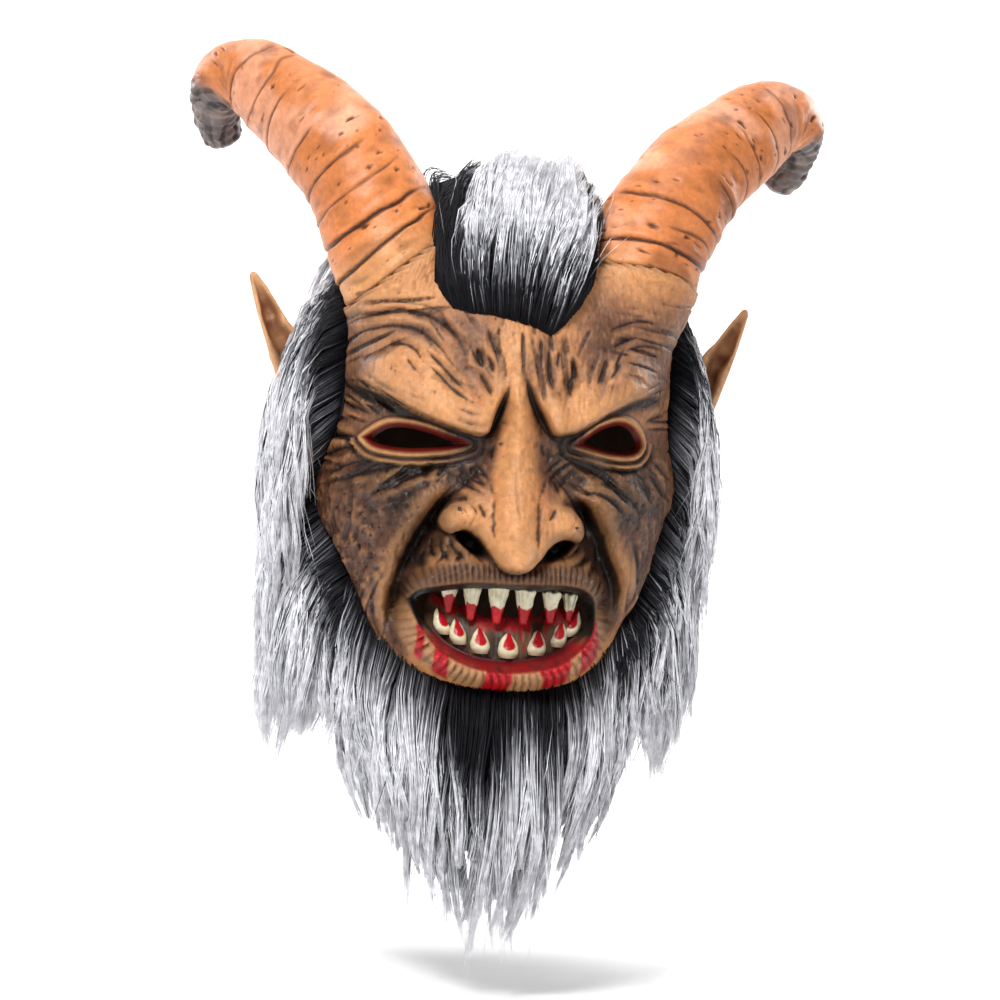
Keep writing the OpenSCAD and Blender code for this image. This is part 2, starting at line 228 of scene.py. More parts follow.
def stroke(points, reach, closed=False):
    """Distance from every point of the face to a smooth line through the points, its side
    (+1 on the left of the line's direction), and the place along it from 0 to 1. The distance
    is only worked out within reach; it is 1e3 elsewhere."""
    points = list(points) + ([points[0]] if closed else [])
    line = spline(points, max(6, 9 * len(points)))
    low, high = line.min(0) - reach, line.max(0) + reach
    near = (X > low[0]) & (X < high[0]) & (Z > low[1]) & (Z < high[1])
    q = np.stack([X[near], Z[near]], axis=1)
    best = np.full(len(q), 1e3)
    side, along = np.ones(len(q)), np.zeros(len(q))
    for i in range(len(line) - 1):
        a, ab = line[i], line[i + 1] - line[i]
        t = np.clip(((q - a) @ ab) / (ab @ ab), 0, 1)
        off = q - a - t[:, None] * ab
        d = np.hypot(off[:, 0], off[:, 1])
        closer = d < best
        best[closer] = d[closer]
        side[closer] = np.sign(ab[0] * off[closer, 1] - ab[1] * off[closer, 0])
        along[closer] = (i + t[closer]) / (len(line) - 1)
    out = [np.full(X.shape, 1e3), np.ones(X.shape), np.zeros(X.shape)]
    for field, value in zip(out, (best, side, along)):
        field[near] = value
    return out


def ridge(points, wide, fade=0.25):
    """A rounded ridge of height 1 along a line, dying out over the share fade at its ends."""
    d, _, along = stroke(points, 3 * wide)
    ends = ramp(along / fade) * ramp((1 - along) / fade) if fade else 1
    return np.exp(-((d / wide) ** 2)) * ends


def groove(points, wide, fade=0.36):
    """A crease of depth 1 along a line, sharp in the middle with sloping sides and raised lips,
    and its bare cut for paint. It thins out towards its ends."""
    d, _, along = stroke(points, 7 * wide)
    ends = ramp(along / fade) * ramp((1 - along) / fade)
    wide = wide * (0.30 + 0.50 * ends)
    core = np.exp(-((d / (0.8 * wide)) ** 2)) * ends
    slope = np.exp(-((d / (2.4 * wide)) ** 2)) * ends
    lips = np.exp(-(((d - 4.2 * wide) / (1.9 * wide)) ** 2)) * ends
    return 0.6 * core + 0.45 * slope - 0.32 * lips, 0.85 * core + 0.15 * slope


def inside(points, reach):
    """Distance to a closed outline, negative inside, and the place round it from 0 to 1."""
    d, _, along = stroke(points, reach, closed=True)
    line = spline(list(points) + [points[0]], 12 * len(points))
    crossings = np.zeros(X.shape, bool)
    for (ax, az), (bx, bz) in zip(line[:-1], line[1:]):
        if az != bz:
            spans = (az > Z) != (bz > Z)
            crossings ^= spans & (X < ax + (Z - az) * (bx - ax) / (bz - az))
    return np.where(crossings, -d, d), along


# Outlines and lines of the face as (x, z)
LEFT_EYE = [(-65, -4.5), (-61, -1), (-55, 2.5), (-47, 3.3), (-38, 1.8), (-29, -1), (-20, -4),
            (-27, -7.5), (-35, -9), (-45, -10), (-55, -9.5), (-61, -8)]
RIGHT_EYE = [(27, -1.5), (33, 3.5), (39, 8), (47, 11), (54, 10), (59, 6), (61, 1), (58, -3.5),
             (51, -5), (43, -4.5), (35, -3)]
MOUTH = [(-41, -76), (-37, -71.5), (-29, -69), (-15, -66.5), (0, -66), (15, -65.5), (29, -65.5),
         (37, -68), (41.5, -74), (41, -82), (36, -91), (27, -98.5), (14, -103), (0, -104.5),
         (-14, -103), (-27, -97), (-36, -87)]
NOSE = [(-7, 44), (-9, 22), (-10, 8), (-11, -6), (-15, -15), (-21, -23), (-27, -30), (-30, -37),
        (-29.5, -42), (-25.5, -44.5), (-20.5, -42), (-15, -45), (-9, -51.5), (-4, -57.5),
        (1.5, -59.5), (7, -58), (13, -53.5), (19.5, -47), (26, -43.5), (31, -45),
        (33.8, -41), (31, -32), (25, -24), (18.5, -16), (14, -7), (11.5, 0), (10.5, 8), (10, 22),
        (8, 44)]
# Where the latex ends over the fur: angle from the front on each side, at heights
FACE_BORDER_Z = [-116, -95, -78, -66, -52, -38, -22, -8, 5, 20, 45, 60, 80]
FACE_BORDER_LEFT = [36, 44, 51, 57, 65, 74.5, 76.5, 70, 65, 63, 63, 69, 74]
FACE_BORDER_RIGHT = [34, 41, 48.5, 55, 61.5, 67, 75, 73, 68.5, 67, 66.5, 69, 74]
MOUTH_ROUND = 262       # length of the mouth's outline
UPPER_RIB, LOWER_RIB = 3.1, 4.2     # width of the ribs across each lip
# Lower edges of the brows, towards +X
LEFT_BROW = [(-74, 22.5), (-63, 19.5), (-54, 15), (-45, 10.5), (-36, 7), (-27, 4), (-18, 1.8),
             (-9.5, 2.6)]
RIGHT_BROW = [(15.5, 3.4), (26, 6), (35, 11.8), (43, 17), (52, 21.8), (61, 25), (70, 26.5)]
GLABELLA = [[(-4.6, 23), (-6.5, 15), (-9, 8), (-12, 1), (-15, -4)],
            [(1.8, 33), (3.2, 25), (6.5, 16), (11.5, 8), (16.5, 2), (21, -2)]]
LEFT_FOLD = [(-22, -28), (-29, -32), (-35, -41), (-40, -52), (-44, -63), (-46.5, -75),
             (-47, -87), (-43, -98), (-35, -106)]
RIGHT_FOLD = [(26, -26), (33, -30), (39, -39), (44, -50), (49, -60), (51.5, -70), (50, -82),
              (44, -92)]
# Fine grooves: depth, width, then the line
GROOVES = [
    (1.5, 1.1, [(-77, 43), (-66, 49), (-55, 53), (-45, 53), (-37, 50), (-29, 44), (-25, 37),
                (-23, 28)]),
    (1.3, 1.0, [(-72, 40), (-64, 44), (-55, 46.5), (-45, 45), (-38, 40), (-32, 34), (-28, 28)]),
    (0.9, 0.8, [(-66, 53), (-57, 57), (-47, 57), (-38, 55), (-31, 50)]),
    (1.1, 0.9, [(-60, 37), (-52, 38.5), (-46, 36), (-42, 29)]),
    (0.8, 0.7, [(-50, 33), (-47, 28.5), (-44, 25)]),
    (1.6, 1.0, [(-43, 38), (-36, 31), (-30, 25), (-21, 16)]),
    (1.6, 1.0, [(-43, 32), (-36, 26), (-31, 21), (-26, 17), (-19, 13)]),
    (2.4, 1.4, [(-20, 40), (-18, 35), (-16, 29)]),
    (1.6, 1.0, [(-16, 50), (-13.5, 43), (-11, 36), (-10, 30)]),
    (2.0, 1.1, [(-15.5, 37), (-13, 32), (-12, 27)]),
    (1.4, 1.0, [(-19, 29), (-15, 23), (-12, 16)]),
    (1.6, 1.0, [(8.5, 46), (9, 37), (10, 32)]),
    (2.0, 1.1, [(12, 46), (12.5, 35), (13.5, 27), (16, 20)]),
    (1.6, 0.9, [(17, 41), (16.5, 35), (16.5, 31)]),
    (2.8, 1.5, [(20, 37), (23, 35), (24, 30), (22.5, 25), (22.7, 18)]),
    (1.8, 1.2, [(39, 40), (37, 32), (33.5, 24.5)]),
    (1.4, 1.0, [(46, 38.5), (41.5, 31), (38, 27.5)]),
    (1.2, 1.0, [(54, 50), (47, 47), (40, 43)]),
    (1.0, 0.9, [(66, 44), (58, 46), (50, 44), (45, 41)]),
    (1.0, 0.9, [(62, 55), (54, 57), (45, 54), (38, 50)]),
    (1.2, 0.9, [(-30, 9.5), (-22, 7), (-14, 6.5), (-9, 9)]),
    (1.0, 0.8, [(-28, 12), (-20, 9.5), (-13, 9)]),
    (0.9, 0.8, [(21, 6), (29, 9), (37, 13)]),
    (1.2, 1.0, [(-69, 24), (-62, 19), (-54, 16), (-46, 10)]),
    (1.4, 1.0, [(-73, 18), (-66, 15), (-58, 11), (-50, 7)]),
    (1.2, 1.0, [(-76, 12), (-69, 9), (-61, 6)]),
    (1.0, 0.9, [(72, 25), (64, 20), (56, 17)]),
    (1.0, 0.9, [(74, 17), (67, 14), (61, 12)]),
    (0.9, 0.7, [(11, -1), (12.5, -5), (13.5, -9)]),
    (0.9, 0.7, [(14, -2), (15.5, -6), (16, -10)]),
    (0.7, 0.7, [(-9, -3), (-10, -7), (-10, -12)]),
    (1.6, 1.1, [(-29, -12), (-38, -17), (-47, -21), (-55, -27), (-63, -33)]),
    (1.4, 1.0, [(-26, -11), (-33, -16), (-42, -20), (-50, -25), (-57, -31)]),
    (1.4, 1.0, [(-42, -13.5), (-54, -17), (-64, -21), (-73, -27)]),
    (1.2, 1.0, [(-60, -14), (-69, -17), (-77, -24)]),
    (1.2, 0.9, [(-66, -8), (-73, -10), (-80, -15)]),
    (1.2, 0.9, [(-66, -5), (-74, -4), (-80, -6)]),
    (1.8, 1.3, [(-39, -13), (-44, -18), (-51, -24)]),
    (1.8, 1.2, [(-34, -12), (-37, -17), (-41, -21)]),
    (1.4, 1.0, [(-29, -13), (-31, -17), (-34, -21)]),
    (1.4, 1.1, [(-24, -12), (-21, -18), (-16, -21), (-10, -23)]),
    (1.2, 1.0, [(-27, -17), (-22, -22), (-16, -25), (-12, -27)]),
    (1.2, 0.9, [(-19, -14), (-15, -17), (-11, -18)]),
    (1.4, 1.0, [(20, -5), (27, -9), (35, -12), (43, -17), (50, -22), (56, -28)]),
    (1.4, 1.0, [(25, -4), (33, -8), (41, -12), (48, -17), (54, -21)]),
    (1.2, 1.0, [(36, -7), (44, -10), (53, -11.5), (61, -9)]),
    (1.2, 0.9, [(57, -14), (62, -20), (65, -27)]),
    (1.2, 0.9, [(63, -10), (68, -15), (71, -21)]),
    (1.0, 0.9, [(66, -5), (71, -9), (75, -14)]),
    (1.6, 1.2, [(28, -24), (38, -23), (46, -26), (53, -33)]),
    (1.2, 1.0, [(33, -19), (42, -18.5), (50, -21), (57, -27), (61, -34)]),
    (1.2, 1.0, [(15, -16), (19, -20), (21, -26)]),
    (1.4, 1.1, [(-16, -30), (-14, -33.5), (-12, -38)]),
    (1.4, 1.0, [(-19.5, -30.5), (-17, -34), (-15.5, -37)]),
    (1.0, 0.8, [(-24, -33), (-21, -34.5), (-19.5, -37)]),
    (1.2, 0.9, [(19, -30), (17.5, -34), (15, -37)]),
    (2.0, 1.2, [(-32, -46), (-33, -52), (-31, -58)]),
    (2.0, 1.2, [(-28, -46), (-29, -52), (-25, -58.5)]),
    (2.2, 1.3, [(-24.5, -45), (-24, -51), (-17.5, -57)]),
    (1.8, 1.2, [(-20, -46.5), (-16.5, -52), (-9, -57.5)]),
    (1.6, 1.1, [(-36, -52), (-37, -58), (-36, -63)]),
    (1.8, 1.2, [(33, -44), (31, -49), (24, -53), (18, -54.5)]),
    (1.6, 1.1, [(37, -49), (34, -54), (27, -57)]),
    (1.4, 1.1, [(42, -54), (39, -58), (35, -61)]),
    (1.2, 1.0, [(45, -60), (43, -64), (40, -67)]),
    (1.2, 1.1, [(-50, -60), (-55, -72), (-55, -85), (-50, -97)]),
    (1.0, 1.0, [(-58, -70), (-61, -82), (-57, -95)]),
    (1.2, 1.1, [(56, -44), (61, -54), (61, -66), (57, -78)]),
    (1.0, 1.0, [(-41, -94), (-33, -102), (-24, -107)]),
]


# Where fine wrinkles follow the skin's pull: centre, half-sizes, direction in degrees, strength
FLOW = [
    (-52, -22, 26, 13, 38, 1.0), (50, -18, 24, 12, -38, 1.0), (-74, -4, 10, 14, -8, 0.9),
    (72, 2, 10, 14, 12, 0.9), (-34, -54, 9, 12, 78, 0.9), (36, -54, 9, 12, -76, 0.9),
    (-3, 40, 14, 16, 86, 0.8), (14, 34, 14, 18, 94, 0.8), (-64, 44, 14, 16, 26, 0.8),
    (-60, 14, 17, 7, -34, 1.5), (60, 19, 14, 7, 32, 1.3), (-45, 54, 14, 9, 4, 0.8),
    (-30, 44, 10, 14, -52, 0.9), (-20, 30, 8, 14, -66, 0.8),
    (38, 40, 12, 20, 66, 0.8), (58, 42, 16, 16, -16, 0.8), (-66, 58, 16, 10, 10, 0.7),
    (64, 58, 16, 10, -10, 0.7), (-60, 17, 18, 7, -26, 1.0), (62, 22, 16, 7, 26, 0.8),
    (-38, 24, 20, 7, -22, 0.45), (36, 24, 20, 7, 26, 0.45), (0, -14, 12, 34, 90, 0.3),
    (-22, -56, 12, 7, 62, 0.9), (24, -56, 12, 7, -40, 0.9), (-54, -84, 12, 20, 74, 0.6),
    (56, -62, 12, 24, -80, 0.7), (-24, -38, 8, 6, 60, 0.5), (-20, -16, 9, 9, -45, 0.9),
    (20, -14, 8, 10, 50, 0.9), (-66, -50, 12, 26, 84, 0.5), (66, -44, 10, 24, -86, 0.5),
]


# The middle of the right horn as in the CAD, from one point further inside the head, and radii
HORN_LINE = np.array([
    [38, -43, 34, 27.5], [45, -42, 53, 28], [57, -38, 80, 28], [70, -32, 108, 27],
    [85, -22, 130, 25.4], [105, -8, 148, 22.8], [124, 6, 162, 18.8], [138, 17, 160, 14.6],
    [140, 30, 147, 11.2], [134, 41, 133, 8.4]])
HORN_PLANE = np.array([-34, -4, 15]) / 37.4
HORN_RINGS, HORN_SIDES = 340, 128
ROOT_REACH = 90     # how much of the horn's run can matter to the forehead
SKIN_OVER_HORN = 0.8


def horn_frame():
    """The middle of the right horn, its radii, the run along it, and two directions across it."""
    line = spline(HORN_LINE, HORN_RINGS)
    centre, radius = line[:, :3], line[:, 3]
    run = np.linspace(0, np.linalg.norm(np.diff(centre, axis=0), axis=1).sum(), HORN_RINGS)
    tangent = unit(np.gradient(centre, axis=0))
    u = unit(np.cross(np.broadcast_to(HORN_PLANE, tangent.shape), tangent))
    return centre, radius, run, u, np.cross(tangent, u)


def crease_wander(angle, slant):
    """How far a crease leaves its ring round the horn."""
    return slant * np.sin(angle + 0.5)


def horn_root(side, first_ring):
    """Height at which the face's skin runs up the front of a horn, far below 0 elsewhere, and
    how far each point is past the horn's first crease."""
    centre, radius, run, u, v = horn_frame()
    crease = first_ring[0] * run[-1]
    some = np.flatnonzero(run < ROOT_REACH)[::3]
    centre, radius, run, u, v = (part[some] for part in (centre, radius, run, u, v))
    near = (side * X > 2) & (Z > 22)
    mirror = np.array([side, 1, 1])
    base, push = face_base[near] * mirror, face_push[near] * mirror
    off = centre[None] - base[:, None]
    ahead = (off * push[:, None]).sum(-1)
    inside_by = ahead**2 - (off**2).sum(-1) + (radius[None] + SKIN_OVER_HORN) ** 2
    reach = ahead + np.sign(inside_by) * np.sqrt(np.abs(inside_by))
    best = reach.argmax(axis=1)
    most = reach[np.arange(len(best)), best]
    q = base + most[:, None] * push - centre[best]
    angle = np.arctan2((q * v[best]).sum(-1), (q * u[best]).sum(-1))
    height, past = np.full(X.shape, -100.0), np.full(X.shape, -100.0)
    height[near] = most
    past[near] = run[best] - crease - crease_wander(angle, first_ring[3])
    return height, past


def over_line(points):
    """Distance above a line that runs towards +X, negative under it, and the place along it."""
    d, side, along = stroke(points, 40)
    return np.where(d < 900, d * side, -50), along


def flow_wrinkles(rng):
    """Fine cuts, 0 to 1, drawn out along the direction that each region of the face states."""
    cuts = np.zeros(X.shape)
    lattice = rng.standard_normal((64, 256))
    for x, z, wide, high, turn, strength in FLOW:
        c, s = math.cos(math.radians(turn)), math.sin(math.radians(turn))
        run = (X * c + Z * s) / 13 + 32 + 0.25 * np.sin(Z / 9)
        across = (Z * c - X * s) / 1.75 + 128 + 0.9 * np.sin((X * c + Z * s) / 11)
        i, j = run.astype(int) % 63, across.astype(int) % 255
        fi, fj = ramp(run - np.floor(run)), ramp(across - np.floor(across))
        top = lattice[i, j] * (1 - fj) + lattice[i, j + 1] * fj
        low = lattice[i + 1, j] * (1 - fj) + lattice[i + 1, j + 1] * fj
        value = top * (1 - fi) + low * fi
        region = np.exp(-(((X - x) / wide) ** 2 + ((Z - z) / high) ** 2) ** 2)
        cuts = np.maximum(cuts, ramp((value - 0.35) / 0.8) * region * strength)
    return cuts


def snap(points, field):
    """Moves the points just outside field's zero line onto it, so the sheet's edge is smooth."""
    total, hits = np.zeros(points.shape), np.zeros(field.shape)
    for step in ((1, 0), (-1, 0), (0, 1), (0, -1), (1, 1), (1, -1), (-1, 1), (-1, -1)):
        beside, level = (np.roll(part, step, (0, 1)) for part in (points, field))
        crossing = (field <= 0) & (level > 0)
        t = (level / np.maximum(level - field, 1e-6))[..., None]
        total += np.where(crossing[..., None], beside + (points - beside) * t, 0)
        hits += crossing
    edge = hits > 0
    points[edge] = total[edge] / hits[edge][:, None]


def sculpt_primary():
    """The large forms of the face, as heights over the head's surface."""
    h = np.zeros(X.shape)
    # skull: sockets, brows and horn bosses
    h -= 9 * blob(-45, -4, 22, 12, -4) + 9 * blob(45, 1, 20, 13, 8)
    for edge, outer, frown, way in ((LEFT_BROW, 0, GLABELLA[0], -1),
                                    (RIGHT_BROW, 1, GLABELLA[1], 1)):
        above, along = over_line(edge)
        x, z = np.array(frown[::-1]).T
        past = way * (X - np.interp(Z, z, x))
        ends = ramp(np.abs(along - outer) / 0.34) * ramp((past + 0.5) / 4.5)
        bulge = np.sqrt(1 - (1 - np.clip((above + 2.6) / 8.5, 0, 1)) ** 2)
        h += 15.5 * bulge * np.exp(-((np.maximum(above, 0) / 14.5) ** 2)) * ends
    h += 4 * blob(-50, 34, 22, 12) + 4 * blob(50, 38, 20, 12)
    h += 5 * blob(-58, 62, 24, 16) + 5 * blob(58, 62, 24, 16)
    h += 3 * blob(0, 32, 10, 18) - 2 * blob(-26, 34, 7, 12) - 2 * blob(30, 34, 7, 10)
    # eyelids: a swelling round each eye, with rims on its edge
    h += 7 * blob(-44, -4.5, 21, 10, -4) + 7.5 * blob(46, 2.5, 18, 12, 8)
    # cheeks
    h += 7 * blob(-55, -30, 18, 15, 35) + 6.5 * blob(54, -25, 17, 15, -35)
    h += 4 * blob(-62, -56, 12, 22, 10) + 4 * blob(62, -52, 11, 20, -10)
    h += 3.5 * blob(-78, -30, 12, 22) + 4 * blob(77, -16, 10, 16)
    # muzzle and the folds that part it from the cheeks
    muzzle, _ = inside([(-45, -76), (-38, -58), (-22, -50), (0, -50), (24, -50), (38, -56),
                        (47, -72), (46, -90), (34, -106), (14, -113), (-4, -114), (-24, -110),
                        (-40, -97)], 60)
    h += 8 * ramp((9 - muzzle) / 18)
    for fold, deep in ((LEFT_FOLD, 10.5), (RIGHT_FOLD, 10)):
        d, side, along = stroke(fold, 30)
        body = ramp(along / 0.14) * ramp((1.02 - along) / 0.5)
        outer = side if fold is RIGHT_FOLD else -side
        wide = np.where(outer > 0, 3.2, 8.5)
        h -= deep * np.exp(-((d / wide) ** 2)) * body
        h += 5.5 * np.exp(-(((d - 8) / 6) ** 2)) * body * (outer > 0)
    # nose: bridge, drooping tip and flared wings inside one outline with rounded edges
    edge, _ = inside(NOSE, 40)
    rise = np.clip(-edge / (7 + 6 * ramp((Z + 36) / 12)), 0, 1)
    body = np.sqrt(1 - (1 - rise) ** 2)
    drop = np.clip((16 - Z) / 73, 0, 1)
    crest = (6 + 24 * drop**1.4) * ramp((34 - Z) / 22)
    centre = np.exp(-np.abs((X - 1) / (8.5 + 6.5 * ramp((4 - Z) / 36))) ** 2.1)
    wing = 13.2 * (blob(-20.5, -36.5, 10.5, 9.5) + blob(24, -37.5, 10.5, 9.5))
    flank = 0.66 * crest * ramp((-6 - Z) / 24)
    h += body * np.maximum(np.maximum(crest * centre, wing), flank)
    h += 4.5 * blob(1.5, -51, 9, 8) * body
    h -= 1.0 * blob(-13, -31, 4, 6) + 1.0 * blob(17, -29, 4, 6)
    for line in ([(-16, -28), (-24, -30), (-30, -34), (-32, -40), (-28, -45.5)],
                 [(19, -27), (28, -29.5), (34.5, -34), (36, -40.5), (33, -46)]):
        h -= 4.5 * ridge(line, 2.6, 0.25)
    # lips
    lip = [(-43, -78), (-41, -69), (-33, -65), (-17, -62.5), (0, -61.5), (17, -61), (32, -61.5),
           (41, -65.5), (45, -74)]
    h += 4.2 * ridge(lip, 5, 0.1)
    lower = [(-44, -80), (-41, -91), (-31, -101.5), (-16, -107.5), (0, -109.5), (16, -107.5),
             (31, -101), (41, -90), (45, -78)]
    h += 7.5 * ridge(lower, 5.4, 0.12)
    h -= 6 * blob(-44.5, -77, 5, 7) + 6 * blob(46, -76, 5, 7)
    h -= 9 * ramp((-113 - Z) / 6) * np.exp(-((X / 60) ** 4))
    return h


def sculpt():
    """The finished face: points of the sheet, and fields for the paint and the openings."""
    rng = np.random.default_rng(FACE_SEED)
    h = sculpt_primary()
    seam = np.zeros(X.shape)
    for side, rings in ((-1, LEFT_RINGS), (1, RIGHT_RINGS)):
        root, past = horn_root(side, rings[0])
        seam = np.maximum(seam, np.exp(-(((past + 0.4) / 1.3) ** 2)) * ramp((root - h + 6) / 8))
        root = root - 11 * ramp((past + 1.5) / 5)
        h = (h + root + np.sqrt((h - root) ** 2 + 25)) / 2 - 0.35
    left_eye, _ = inside(LEFT_EYE, 16)
    right_eye, _ = inside(RIGHT_EYE, 16)
    mouth, mouth_round = inside(MOUTH, 45)
    eye = np.minimum(left_eye, right_eye)
    # lid rims: a thick inner roll, a valley, then a thin second roll under each eye
    under = np.where(X < 0, Z < -3.5 + 0.05 * (X + 45), Z < 2.5)
    inner_side = ramp((34 - np.abs(X)) / 10)
    uneven = 0.75 + 0.35 * noise(X.shape, 22, rng)
    h += 1.9 * np.exp(-(((eye - 1.2) / 1.0) ** 2)) * (1 - 0.75 * inner_side)
    h -= 1.5 * np.exp(-(((eye - 3.1) / 0.8) ** 2)) * (0.2 + 0.8 * under) * uneven
    h += 1.1 * np.exp(-(((eye - 4.8) / 1.0) ** 2)) * under * (1 - inner_side) * uneven
    h -= 1.3 * np.exp(-(((eye - 6.6) / 0.9) ** 2)) * under * uneven
    # wrinkles cut along the listed lines
    dark = 0.9 * seam
    for deep, wide, line in GROOVES:
        cut, bare = groove(line, wide)
        h -= 1.15 * deep * cut
        dark = np.maximum(dark, 0.85 * bare * min(deep / 1.6, 1))
    for line in GLABELLA:
        cut, bare = groove(line, 2.3, 0.4)
        h -= 4.4 * cut
        dark = np.maximum(dark, 0.95 * bare)
    # the deepest part of each cheek fold is painted near black, a painted shadow
    for fold in (LEFT_FOLD, RIGHT_FOLD):
        dark = np.maximum(dark, 0.95 * ridge(fold, 4.6, 0.12) * ramp((Z + 104) / 28))
    # ribs across both lips
    upper_lip = ramp((Z + 78) / 6)
    rib_width = UPPER_RIB + (LOWER_RIB - UPPER_RIB) * (1 - upper_lip)
    rib = np.cos(mouth_round * MOUTH_ROUND * 2 * math.pi / rib_width
                 + 1.2 * noise(X.shape, 16, rng))
    band = np.exp(-(((mouth - 5.2) / 4.4) ** 4))
    cuts = ramp((rib - 0.1) / 0.7) * band
    h -= (1.5 + 0.5 * noise(X.shape, 9, rng)) * cuts
    dark = np.maximum(dark, 0.85 * cuts * (0.5 + 0.5 * upper_lip))
    # skin: creases between the wrinkles, pores on the cheeks, small lumps
    cheek = np.clip(blob(-60, -38, 24, 26) + 0.5 * blob(58, -35, 22, 26)
                    + 0.5 * blob(-58, -75, 16, 24), 0, 1)
    pores = ramp((noise(X.shape, 2.4, rng) - 1.2) / 0.5)
    lumps = noise(X.shape, 5, rng)
    streaks = noise((FACE_ROWS, FACE_COLS * 3), 5.5, rng)[:, ::3]
    skin = ramp((eye - 3) / 3) * ramp((mouth - 9) / 3)
    h += skin * (0.42 * lumps * cheek - 0.9 * pores * (0.22 + cheek) + 0.16 * streaks)
    h += 0.36 * skin * noise(X.shape, 9, rng) * (0.4 + cheek)
    h += 0.10 * skin * noise(X.shape, 2.2, rng)
    h += 0.18 * noise(X.shape, 14, rng) + 0.35 * noise(X.shape, 30, rng)
    flow = flow_wrinkles(rng) * skin
    h -= 1.5 * flow
    dark = np.maximum(dark, 0.7 * flow)
    dark = np.maximum(dark, 0.38 * pores * (0.25 + 0.75 * cheek) * skin)
    # openings: the edge rolls in and the skin beyond it is left out
    roll_eye = ramp(-(eye - 0.4) / 4.2)
    roll_mouth = ramp(-(mouth - 1.0) / 5.0)
    h -= 9 * roll_eye + 13 * roll_mouth
    nostrils = (blob(-16.5, -48.5, 9, 3.8, -36) + blob(22.5, -49, 9, 3.8, 32))
    h -= 13 * ramp((nostrils - 0.25) / 0.6)
    points = face_base + h[..., None] * face_push
    # pull the tip of the nose down and the wings out over the cheeks
    tip = blob(1.5, -53, 12, 8)[..., None]
    points += tip * np.array([0, 0, -3.2])
    for edge, outer in ((LEFT_BROW, 0), (RIGHT_BROW, 1)):
        above, along = over_line(edge)
        lip = np.exp(-(((above - 3) / 3.6) ** 2)) * ramp(np.abs(along - outer) / 0.4)
        points[..., 2] -= 3.0 * lip * ramp((np.abs(X - 2) - 10) / 5)
    normals = grid_normals(points)
    wings = (blob(-24, -38, 6.5, 6) + blob(28, -39, 6.5, 6))[..., None]
    points += 2.2 * wings * normals
    border = np.interp(Z, FACE_BORDER_Z, FACE_BORDER_LEFT) * (X < 0)
    border = border + np.interp(Z, FACE_BORDER_Z, FACE_BORDER_RIGHT) * (X >= 0)
    border = border - np.degrees(np.abs(phi_grid)) + 0.5 * noise(X.shape, 30, rng)
    points += (1.8 * ramp(border / 4) - 1.2 * ramp((1.2 - border) / 1.2))[..., None] * outward
    field = np.minimum(np.minimum(eye + 2.2, mouth + 2.4 + 2.2 * ramp((-84 - Z) / 6)), border)
    snap(points, field)
    fields = dict(h=h, dark=dark, eye=eye, mouth=mouth, nostrils=nostrils, cheek=cheek,
                  streaks=streaks, upper_lip=upper_lip, rng=rng, under=under, field=field)
    return points, fields


EYE_RIM_RED = np.array([0.16, 0.008, 0.006])
TAN = np.array([0.50, 0.205, 0.075])
PALE_TAN = np.array([0.68, 0.325, 0.130])
DUSK = np.array([0.215, 0.095, 0.050])
BROWN = np.array([0.078, 0.031, 0.016])
BLACK_BROWN = np.array([0.011, 0.007, 0.006])
MOUTH_RED = np.array([0.40, 0.004, 0.008])
DARK_RED = np.array([0.11, 0.003, 0.005])
LIP_TAN = np.array([0.50, 0.25, 0.11])
DARKEST = 0.002     # no paint is darker than this
# Strength, then middle, half-sizes and turn of the brown wash and of the near-black one in it,
# which is dark paint and, at the inner eye corners, painted shadow
BROWN_PATCHES = [
    (0.95, -42, -15, 34, 11, 4), (1.0, 45, -13, 28, 15, -12), (0.9, -62, 14, 17, 8, -25),
    (0.95, -19, -10, 10, 12), (0.9, 19, -13, 8, 13), (0.95, -22, -53, 18, 9),
    (1.0, 31, -48, 16, 12), (1.0, -38, -38, 19, 20, 20), (1.0, -60, -40, 26, 28),
    (1.0, 46, -38, 18, 21), (0.6, 62, -40, 18, 26), (0.95, -43, -56, 10, 22, 16),
    (0.95, 46, -56, 9, 20, -16), (0.75, 39, 48, 12, 18), (0.45, 58, 24, 16, 7, 25),
    (0.6, -77, -8, 9, 18), (0.5, 72, 0, 10, 18), (0.6, -60, -74, 14, 22),
    (0.95, -58, -28, 26, 22), (0.85, 52, -26, 20, 18), (0.6, -66, -50, 18, 20),
    (0.7, 58, -62, 13, 22), (0.55, -48, -88, 9, 16), (0.8, 4, -60, 34, 5),
    (0.45, -70, 44, 9, 24), (0.55, 64, 46, 12, 22), (0.4, 10, 32, 10, 16), (0.4, -20, 36, 10, 14),
    (0.35, -40, 47, 26, 9, 10), (0.5, 0, -62, 40, 7),
]
NEAR_BLACK_PAINT_AND_SHADOW = [
    (0.85, -62, 13, 15, 6, -27), (0.95, -40, -15, 22, 7, 8), (1.0, 40, -12, 22, 9, -22),
    (0.8, 60, -22, 12, 12, -30), (0.5, -56, -20, 22, 10, 20),
    (1.0, -22, -5, 9, 5, -20), (1.0, 23, -1, 9, 5, 25), (0.7, -20, -17, 8, 6),
    (0.6, 18, -18, 5, 9), (0.9, -25, -51, 13, 5, -30), (0.95, 30, -48, 12, 7, 30),
    (0.75, -41, -42, 9, 14, 16), (0.7, 44, -42, 7, 14, -16), (0.55, 62, 22, 10, 4, 25),
    (0.55, -44, -28, 20, 9, 20), (0.5, 46, -24, 16, 8, -20), (1.0, -45, -77, 5, 6),
    (1.0, 46.5, -76, 5, 6), (0.5, -38, -60, 10, 10), (0.5, 40, -60, 10, 10),
]


def mix(a, b, share):
    """From a to b by share, which has one value per point."""
    share = np.clip(share, 0, 1)[..., None]
    return a * (1 - share) + b * share


